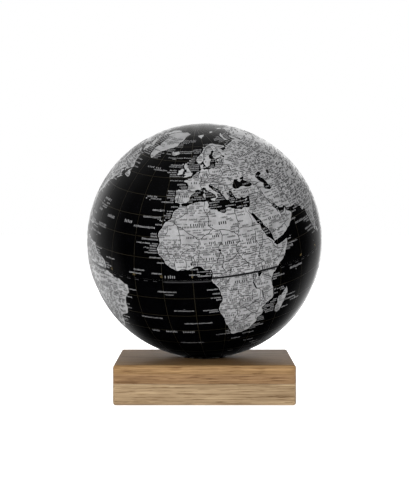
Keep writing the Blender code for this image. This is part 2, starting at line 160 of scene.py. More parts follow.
    "iceland": """
-24.3 65.6, -22.7 66.4, -21.4 65.5, -20.2 66, -18.1 66.1, -16.2 66.5, -14.7 65.8, -13.7 65, -15.2 64.3,
-18.5 63.4, -20.5 63.6, -22.7 63.9, -22 64.5, -23.9 64.9, -22.2 65.3""",
    "greenland": """
-43.9 59.8, -46.5 60.8, -48.8 61.6, -50.5 63, -51.9 64.5, -53.7 66.5, -53 68.2, -51 69, -54.5 70.5,
-55 72, -57.5 74.5, -61 75.8, -68.5 76, -71.2 77.1, -73 78.3, -67 80, -62 81.5, -53 82.3, -45 82.6,
-33 83.6, -22 82.7, -12.5 81.5, -17 80, -19.5 78, -19 76.5, -20.5 74.2, -22.3 72.3, -22.5 70.3,
-26 68.9, -31 68.1, -34 66.7, -38 65.6, -40.5 64.7, -41.5 62.8, -42.8 60.7""",
    "north_america": """
-168 65.6, -164 66.5, -162 66.1, -163.8 67.2, -166.5 68.3, -163 69.5, -156.5 71.3, -150 70.4, -141 69.6,
-135 69.3, -130 70.1, -125 69.5, -117 68.9, -114 68, -108 68, -104 68, -98 67.8, -95.5 68.8, -94.5 71.9,
-92 70.8, -91.5 69.5, -88 68.6, -86 67.3, -85.5 69.7, -82 69.4, -81.5 67.6, -84.5 66.3, -87 65.2,
-90.5 63.7, -94 61, -94.7 58.9, -92.5 57, -88 56.5, -82.3 55.2, -82 53, -80 51.3, -79 52.2, -79.6 54.7,
-76.7 56.7, -78.5 58.8, -77.6 60.5, -78 62.3, -74 62.2, -70 61, -69.4 58.9, -66.5 58.8, -64.6 60.3,
-62 57.6, -60 55.4, -57.3 54, -55.8 52.4, -58.6 51.3, -61 50.2, -66 50.1, -69 48.5, -70.8 47.1,
-68 48.4, -64.5 49.1, -65 47.3, -63.5 46, -61.4 45.8, -60 46, -63.5 44.6, -65.9 43.5, -66 44.4,
-64.5 45.3, -67 44.9, -69 44, -70.8 42.8, -70 41.8, -73.8 40.8, -74.2 39.6, -75.8 37.2, -75.6 35.3,
-77.5 34.2, -79.2 33.1, -81.2 31.6, -80.6 28.4, -80.1 26, -80.7 25.2, -81.9 26.3, -82.7 28, -83.8 29.8,
-85.4 29.7, -87.5 30.3, -89.6 30.2, -89.2 29.1, -91.5 29.5, -94 29.6, -97.2 27.8, -97.3 25.5,
-97.8 22.3, -96.2 19.4, -94.5 18.1, -92 18.6, -90.6 19.6, -90.3 21.1, -87 21.5, -87.7 19.5, -88.3 17.8,
-88.9 15.9, -86 15.9, -83.2 15, -83.6 12.8, -83.7 11, -82.2 9.1, -80 9.3, -78 9.5, -77.1 8.4, -77.9 7.2,
-78.4 8.5, -79.6 9, -80.3 7.5, -82.9 8.2, -83.8 9.2, -85.8 10.2, -85.9 11.3, -87.7 13, -91.3 13.9,
-94 16, -96.5 15.7, -99.8 16.8, -103.5 18.3, -105.5 20.2, -105.4 21.9, -107.5 24.6, -109.5 26.1,
-111 27.9, -113 31.1, -114.8 31.7, -114.6 30.2, -112.6 27.6, -111.2 25.7, -109.5 23.2, -110.2 23.2,
-112.1 25, -114.8 27.5, -114.1 28.6, -116 30.4, -117.2 32.8, -118.5 34, -120.6 34.6, -122 36.9,
-123.8 39.2, -124.3 41.5, -124 46.2, -124.6 48.3, -122.5 47.8, -123 49.2, -127.5 51, -130.2 54.2,
-133.2 57, -136.6 58.3, -139.8 59.6, -144.3 60.1, -148.5 60.2, -151.7 59.3, -150.2 61.2, -153.5 59.5,
-156.5 57.3, -160 55.8, -164.8 54.6, -161.5 56, -157.5 58.6, -162 58.7, -162.2 60, -165.2 61.2,
-164.8 63, -161 63.6, -161.2 64.6, -166.2 64.6""",
    "south_america": """
-77.2 8.5, -75.5 10.5, -74.2 11.2, -71.5 12.4, -71.8 11, -70 11.6, -68.2 10.6, -66 10.6, -64.3 10.3,
-62 10.7, -61 9.3, -60.2 8.3, -58.4 7, -57.2 6, -54 5.8, -52 4.8, -51 3.9, -50 1.8, -50.6 0.2,
-48.4 -0.4, -48 -0.7, -45.5 -1.4, -44.3 -2.6, -42 -2.8, -40 -2.9, -38.5 -3.8, -37 -4.8, -35.4 -5.2,
-34.9 -7, -35.2 -9, -37 -11, -38.5 -13, -39 -14.8, -39.2 -17.5, -40.2 -20.2, -41 -22, -43.2 -23,
-45.5 -23.8, -48.2 -25.5, -48.7 -28.2, -50.3 -30.2, -52.3 -32.5, -53.8 -34.3, -56.2 -34.9, -58.3 -34,
-57.3 -35.8, -57.6 -38.1, -62 -38.9, -62.3 -40.8, -65 -41, -64 -42.5, -65.3 -44.6, -67.5 -46,
-65.8 -47.8, -68.9 -50.3, -68.3 -52.4, -65.2 -54.7, -68.5 -55.4, -72 -54, -74.7 -52, -75.4 -49.3,
-74.8 -46.7, -73 -44, -73.2 -41.8, -73.6 -39.8, -73.3 -37.2, -71.7 -33.5, -71.5 -30, -70.6 -26.5,
-70.3 -21, -70.4 -18.4, -72.5 -16.9, -76 -14.5, -77.2 -12, -79 -8.3, -81.1 -6, -81.3 -4.3, -79.9 -2.6,
-80.9 -2.2, -80.1 0.7, -78.7 1.7, -77.2 3.8, -77.5 6.4, -78.1 7.5""",
    "australia": """
114.1 -21.9, 113.4 -24.4, 114.1 -27.3, 115 -30.3, 115.7 -32.2, 115.1 -34.3, 118 -35, 120 -33.9,
123.6 -33.9, 126 -32.3, 131.2 -31.5, 134.2 -33, 135.7 -34.9, 137.8 -32.6, 137.2 -35.2, 138.5 -34.9,
139.8 -37, 141.5 -38.4, 143.6 -38.8, 145 -38, 146.4 -39.1, 148 -37.9, 150 -37.4, 151 -34.3, 152.6 -32.2,
153.5 -28.8, 153 -25.8, 150.9 -23.5, 149.2 -21.2, 146.5 -19.1, 145.8 -17, 145.3 -15, 143.8 -14.4,
142.6 -10.8, 141.7 -13, 141.5 -15.6, 140.7 -17.5, 139 -17.3, 135.8 -15, 136.8 -12.3, 133 -11.6,
130.8 -12.5, 129.5 -14.9, 126.8 -14, 124 -16.3, 122.2 -18, 119 -20, 116.5 -20.8""",
    "antarctica": """
-180 -78, -162 -78.5, -150 -77, -137 -75, -120 -74, -110 -74.5, -100 -72.5, -88 -73, -77 -73, -72 -70.5,
-67 -67.5, -62 -64.6, -57 -63.4, -61 -66.5, -62 -71, -62 -75, -52 -77.5, -36 -78, -27 -75.8, -15 -72.5,
0 -70, 15 -70, 30 -69.3, 40 -69, 48 -67.3, 56 -66.3, 66 -67.7, 74 -69.8, 82 -67, 95 -66.5, 110 -66.2,
125 -66.5, 140 -66.8, 155 -69.2, 170 -71.5, 166 -75, 165 -77.8""",
    "newfoundland": """
-59.3 47.6, -55.8 46.9, -53.2 46.7, -52.8 47.8, -54.2 49.4, -56 50, -55.6 51.6, -57.3 50.5, -58.6 48.8""",
    "baffin": """
-61.6 66.6, -67 68.9, -71 71, -78 72.8, -81 73.7, -89.3 73.4, -89.8 71.3, -84.8 70, -78.8 70,
-75.5 68.6, -72.6 67.7, -73.5 65.6, -78 64.7, -74 64.4, -71 63, -65.5 62, -68.5 63.6, -64.6 63.6,
-67 66.1, -62.5 65.8""",
    "ellesmere": """
-91 80.6, -85 82.3, -72 83.1, -62 82.4, -69 80.6, -75 79, -78 76.4, -89 76.5, -88 78.4, -94 78.4""",
    "devon": "-91.5 76.5, -81 75.8, -80 74.7, -91.8 74.8",
    "victoria_island": """
-117 73, -110 73, -105 73.4, -105.5 71, -101.5 69.6, -106 68.6, -115.5 69.2, -118 71.2""",
    "banks": "-125.4 72, -124 74.3, -117.5 73.3, -122 71.2",
    "melville": "-117 75.6, -108 76.5, -106 75, -113 74.7",
    "bathurst": "-102.5 76, -98.5 76.5, -98 75, -102 74.9",
    "somerset": "-95.5 73.9, -90.4 73.9, -92 72.7, -95.3 72.2",
    "prince_of_wales": "-102.3 73, -97.6 73.8, -97 71.8, -100 71.6",
    "southampton": "-87 65.3, -82 64.2, -80.5 63.6, -86.5 63.6",
    "vancouver_island": "-128.2 50.7, -125.2 50, -123.4 48.4, -125.5 48.8",
    "cuba": "-84.9 21.9, -82.4 23.1, -79.8 22.8, -77 21.6, -74.2 20.2, -77.6 19.9, -78.2 21, -81.6 22.1",
    "hispaniola": "-74.4 18.4, -72.8 19.9, -69.9 19.7, -68.4 18.6, -70.6 18.3, -71.5 17.7, -72.5 18.2",
    "jamaica": "-78.3 18.3, -76.3 18.1, -77.2 17.8",
    "puerto_rico": "-67.2 18.4, -65.7 18.3, -66 18, -67.2 18",
    "falklands": "-61 -51.5, -57.9 -51.5, -59 -52.3, -61 -52",
    "svalbard": "11 79, 13.6 78, 16.7 76.6, 18 77.5, 21.5 78.3, 27 80.1, 18 80.3, 11.5 79.8",
    "novaya_zemlya": """
51.8 71.7, 53.5 70.9, 57.5 70.7, 55.7 72.4, 57.5 73.8, 62 75.4, 68.7 76.7, 65 77, 57 75.8, 54 73.9""",
    "franz_josef": "47 80.3, 50 80.9, 56 81.6, 63 80.9, 55 80.3",
    "severnaya_zemlya": "93 79.6, 97 81, 105 79.2, 104 78, 99 78.2",
    "new_siberian": "137.5 75.6, 146 75.5, 150.5 75.1, 143 73.4, 139.5 74.6",
    "wrangel": "178.8 71.2, 182 71.5, 182 70.9, 179.5 70.8",
    "zealand": "11.1 55.7, 12.5 56.1, 12.4 55.2, 11.3 55.2",
    "gotland": "18.2 57.1, 19 57.9, 18.7 57.3",
    "sicily": "12.5 38, 13.4 38.2, 15.6 38.3, 15.1 36.7, 12.8 37.5",
    "sardinia": "8.2 40.8, 9.2 41.2, 9.7 40.3, 9.5 39.1, 8.5 39",
    "corsica": "8.6 42.3, 9.4 43, 9.5 42.1, 9.2 41.4",
    "crete": "23.6 35.5, 25 35.4, 26.3 35.2, 24.8 34.95, 23.6 35.2",
    "cyprus": "32.3 35, 33.4 35.4, 34.5 35.7, 33.9 35, 32.8 34.6",
    "mallorca": "2.4 39.6, 3.1 39.9, 3.2 39.4",
    "euboea": "23 38.9, 23.5 38.9, 24.5 38, 24 38.3",
    "madagascar": """
49.3 -12, 50 -13.6, 50.4 -15.6, 49.6 -16.1, 49.3 -18, 48.2 -20.8, 47.1 -24.9, 45.3 -25.6, 44 -25,
43.5 -23, 43.4 -21.5, 44.4 -19.8, 44 -17.6, 44.5 -16.2, 46.4 -15.6, 48 -13.6""",
    "socotra": "53.3 12.6, 54.5 12.6, 53.8 12.3",
    "sri_lanka": "79.9 9.8, 81.2 8.6, 81.8 7, 80.6 5.9, 79.8 7.4",
    "sumatra": """
95.3 5.6, 97.5 5.2, 100 2.7, 102.5 0.8, 103.7 -1, 106 -3, 105.8 -5.8, 104.4 -5.8, 102.3 -4, 100.4 -1.4,
98.8 1.6, 97 3.2""",
    "java": """
105.2 -6.8, 106.1 -5.9, 108.6 -6.6, 110.9 -6.4, 112.8 -6.9, 114.5 -7.8, 114.5 -8.7, 111 -8.3, 108 -7.8,
106.4 -7.4""",
    "timor": "123.6 -10.3, 125.2 -8.7, 127.2 -8.4, 125.8 -9.4",
    "borneo": """
109 1.5, 111.2 2.4, 113 3.1, 115 5, 116.8 7, 119.2 5.3, 117.7 3.6, 118 2.1, 119 1, 117.5 0.2,
116.4 -1.8, 116 -3.8, 114.6 -4.1, 113 -3.2, 110.2 -2.9, 109.9 -1.3, 109.1 0.2""",
    "sulawesi": """
119.5 -5.5, 118.8 -2.8, 119.8 0.6, 120.9 1.3, 123.5 0.9, 125.2 1.6, 124 0.4, 120.4 0.5, 120.1 -1,
121.5 -0.9, 123.3 -0.9, 121.7 -1.9, 122.8 -4.3, 121.5 -4.7, 121 -2.8, 120.3 -3, 120.4 -5.5""",
    "halmahera": "127.6 1, 128 2.1, 128.7 1.3, 128.2 -0.7",
    "luzon": "120.6 18.5, 122.2 18.4, 121.5 16, 121.8 14.2, 124 12.8, 121 13.7, 120.2 14.8, 119.9 16.3",
    "mindanao": "122 7, 123.4 8.6, 125.5 9.7, 126.5 7.4, 125.5 5.8, 124 6.6",
    "visayas": "122 11.8, 123.2 11, 124.3 12.5, 125.5 12, 125.2 10.2, 123.2 9.2, 122.2 10.4",
    "palawan": "117.3 8.4, 119.5 11.2, 119.3 10.2",
    "taiwan": "121.5 25.2, 121.9 24.8, 120.9 22, 120.1 23.1",
    "hainan": "108.7 19.3, 110.6 20.1, 110.4 18.8, 109.4 18.2",
    "honshu": """
130.9 34.1, 132.8 35.5, 135.9 35.7, 136.9 37.4, 138.6 37.5, 140 39.5, 140.3 41.1, 141.4 41.3, 142 39.5,
141 38, 140.7 35.8, 138.5 34.7, 136.9 34.5, 135.8 33.5, 135.1 34.6, 132.4 34.1""",
    "kyushu": "129.8 33.3, 131 33.9, 131.9 32.8, 131.2 31.3, 130.3 31.3",
    "shikoku": "132.2 33.4, 134.2 34.3, 134.4 33.6, 133 32.8",
    "hokkaido": "140.2 41.5, 140.5 43.2, 141.8 45.4, 145.3 44.2, 145.4 43.2, 143.2 42, 141 42.4",
    "sakhalin": "142 46, 142.1 49, 142.4 54, 143 54.1, 143.3 51.5, 143.3 49.2, 144.6 48.8, 143.3 46.6",
    "new_guinea": """
131.1 -0.8, 134 -0.9, 134.9 -3.2, 137.8 -1.6, 141 -2.6, 145.5 -4.4, 147.7 -6, 147.1 -6.8, 150.7 -10.4,
147 -9.4, 144.5 -7.7, 143 -9.2, 141 -9.1, 138 -8.3, 138.3 -6.4, 135.5 -4.4, 132.8 -3.9, 133.6 -2.6,
132 -2.2""",
    "new_britain": "148.5 -5.8, 152 -4.3, 152 -5.2, 150 -6.3",
    "tasmania": "144.7 -40.8, 148.2 -40.9, 147.9 -43.1, 146 -43.5",
    "north_island": """
172.8 -34.5, 174.9 -36.6, 175.9 -37.4, 178.4 -37.7, 177 -39.3, 175.3 -41.5, 175 -40.2, 173.8 -39.3,
174.7 -38""",
    "south_island": """
172.7 -40.6, 174.2 -41.7, 172.8 -43.7, 170.7 -45.9, 168.5 -46.6, 166.6 -45.9, 168.5 -44""",
    "new_caledonia": "164 -20.2, 167 -22.3, 165.5 -21.6",
    "hawaii": "-156 20.2, -154.9 19.5, -155.8 19",
}

# Small islands: longitude, latitude and radius in degrees.
ISLETS = """
-16.6 28.3 0.35, -15.6 27.9 0.3, -14 28.4 0.3, -17.9 28.7 0.2, -17 32.7 0.3, -25.5 37.8 0.25,
-28.2 38.6 0.3, -23.6 15.1 0.25, -25.1 17 0.25, -24.4 14.9 0.2, 8.7 3.5 0.3, 6.6 0.2 0.2, -14.4 -7.9 0.15,
-5.7 -16 0.15, 39.4 -6.1 0.3, 43.4 -11.7 0.3, 45.2 -12.8 0.2, 57.5 -20.3 0.3, 55.5 -21.1 0.35,
55.5 -4.6 0.25, 50.6 26 0.2, -7 62.1 0.3, -1.3 60.3 0.3, -3 59 0.3, -7 58 0.35, 1.4 39 0.2, 4.1 40 0.15,
27.9 36.2 0.25, 26 38.4 0.2, 22.5 58.5 0.4, 10.4 55.3 0.4, 14.5 68.9 0.4, -61.4 10.4 0.4, -61.5 16.2 0.25,
-61 14.7 0.2, -64.8 32.3 0.15, -77.5 24.5 0.4, -78 26.6 0.4, -158 21.5 0.3, 178 -17.8 0.5, -172 -13.7 0.3,
-149.5 -17.6 0.25, 73.5 4.2 0.2, 92.8 12.5 0.4, 160 -9.5 0.5, 155.2 -6.2 0.5, 126.5 33.4 0.3, 153.2 48 0.3,
-36.7 -54.4 0.5, 70 -49.3 0.6, -153.5 57.5 0.6, -132.3 53.3 0.6, -168.8 53.4 0.4, -63 46.4 0.4,
-63 49.4 0.6, 167 -15.5 0.4, 117.6 -8.6 0.5, 121 -8.6 0.6, 129.5 -3.2 0.6, 168 54.9 0.2, 179 51.4 0.2,
-90.8 -0.6 0.5, -109.4 -27.1 0.15, 105.7 -10.5 0.15
"""

# Inland seas and lakes, cut out of the land.
WATER = {
    "black_sea": """
28 42, 29.1 41.25, 31.4 41.3, 33.3 42, 35.1 42.05, 36.4 41.3, 38.3 41, 39.7 41, 41.5 41.5, 41.5 42.5,
40 43.4, 38.2 44.4, 36.9 45.1, 38 46, 38.3 46.7, 39.2 47.1, 37.5 46.9, 35.2 46.4, 34.9 45.9, 35.3 45.4,
36.4 45.4, 35.3 45, 34 44.4, 33.4 44.6, 32.6 45.4, 33.6 46, 32 46.3, 30.8 46.5, 29.7 45.3, 28.7 44.2,
28.1 43.4, 27.7 42.6""",
    "marmara": "27.3 40.7, 28.3 41, 29.1 40.9, 29 40.4, 27.6 40.4",
    "caspian": """
49.2 46.4, 51.2 47, 53 46.8, 53 45.4, 51 44.9, 50.3 44.5, 51.2 43.4, 52.6 42.6, 52.5 41.7, 52.9 40.9,
53 39.5, 53.9 38.5, 53.9 36.9, 52 36.6, 50.4 37.2, 48.9 37.7, 48.9 38.6, 49.5 40.1, 50.3 40.4, 49 41.4,
47.6 43, 47.3 44, 46.8 44.8, 47.8 45.7""",
    "aral": "58.4 44.2, 58.6 45.8, 60 46.5, 61.3 46, 61 45, 60 44",
    "balkhash": "73.6 45.3, 74.2 46.4, 76.5 46.7, 79 46.6, 76 46.2, 74.3 45",
    "issyk_kul": "76.3 42.3, 77.3 42.7, 78.3 42.7, 77.3 42.2",
    "baikal": "103.8 51.5, 105.8 52.5, 108 54.2, 109.3 55.7, 109.8 55.5, 109 53.6, 106.5 52.2, 104.6 51.4",
    "ladoga": "30 61.1, 31 61.6, 32.8 60.9, 32.6 60.2, 31 59.9",
    "onega": "34.3 61.9, 35.5 62.3, 36.3 61.3, 35.5 60.9",
    "vanern": "12.5 58.6, 13.3 59.2, 14.1 58.7, 13.2 58.4",
    "urmia": "45 38.1, 45.7 37.9, 45.6 37.2, 45.2 37.4",
    "van": "42.5 38.5, 43.4 38.8, 43.2 38.4",
    "lake_chad": "13.2 13.3, 14 13.8, 14.8 13, 14 12.5",
    "volta": "-0.7 7.6, -0.2 8.6, 0.3 7.4, 0.1 6.4",
    "turkana": "35.9 4.4, 36.3 4.4, 36.8 2.6, 36.4 2.5",
    "albert": "30.4 1, 31.4 2.2, 31.2 1.7, 30.7 1.1",
    "lake_victoria": "31.8 -0.9, 31.9 0, 33 0.4, 34.2 0, 34.1 -1, 33.2 -2.2, 32.9 -2.7, 32 -2.4",
    "tanganyika": "29.3 -3.3, 29.6 -5, 30.5 -6.8, 31.2 -8.7, 30.5 -8.5, 29.6 -6.6, 29 -4.9",
    "malawi": "33.9 -9.5, 34.7 -11, 34.9 -12.5, 35.2 -14.2, 34.5 -14.2, 34.2 -12.3, 33.8 -10.4",
    "kariba": "27.1 -17.9, 28.8 -16.5, 28.5 -16.8, 27.8 -17.6",
    "superior": "-92 46.8, -89 48.3, -86 48.7, -84.6 46.6, -87.2 46.5, -90.5 46.8",
    "michigan": "-87.8 42, -86.6 42, -86.2 43.8, -85.2 45.8, -87.2 45.6, -87.8 44",
    "huron": "-84.4 46, -81.5 46, -80 44.7, -81.7 43.4, -82.4 43.1, -83.5 44.6",
    "erie": "-83.3 41.7, -81 42.6, -79 42.8, -81.5 41.6",
    "ontario": "-79.7 43.3, -77.3 43.9, -76.2 44, -76.6 43.5",
    "winnipeg": "-98.9 53.8, -97.5 53, -96.5 51, -97 50.5, -98.5 52.2",
    "great_slave": "-116.8 61.2, -114 62.2, -109.6 62.8, -111.5 61.8, -115 60.9",
    "great_bear": "-124.5 66, -120 67, -118 66.6, -120 65.4",
    "athabasca": "-111.2 58.6, -107 59.4, -109 59.2",
    "nicaragua": "-85.9 11.9, -84.9 11.1, -85.6 11.2",
    "maracaibo": "-71.6 10.6, -71.1 9.6, -71.9 9.3, -72 10.2",
    "titicaca": "-70 -15.4, -68.9 -16.4, -69.4 -16",
    "eyre": "137 -28, 137.9 -28.4, 137.3 -29.2",
}

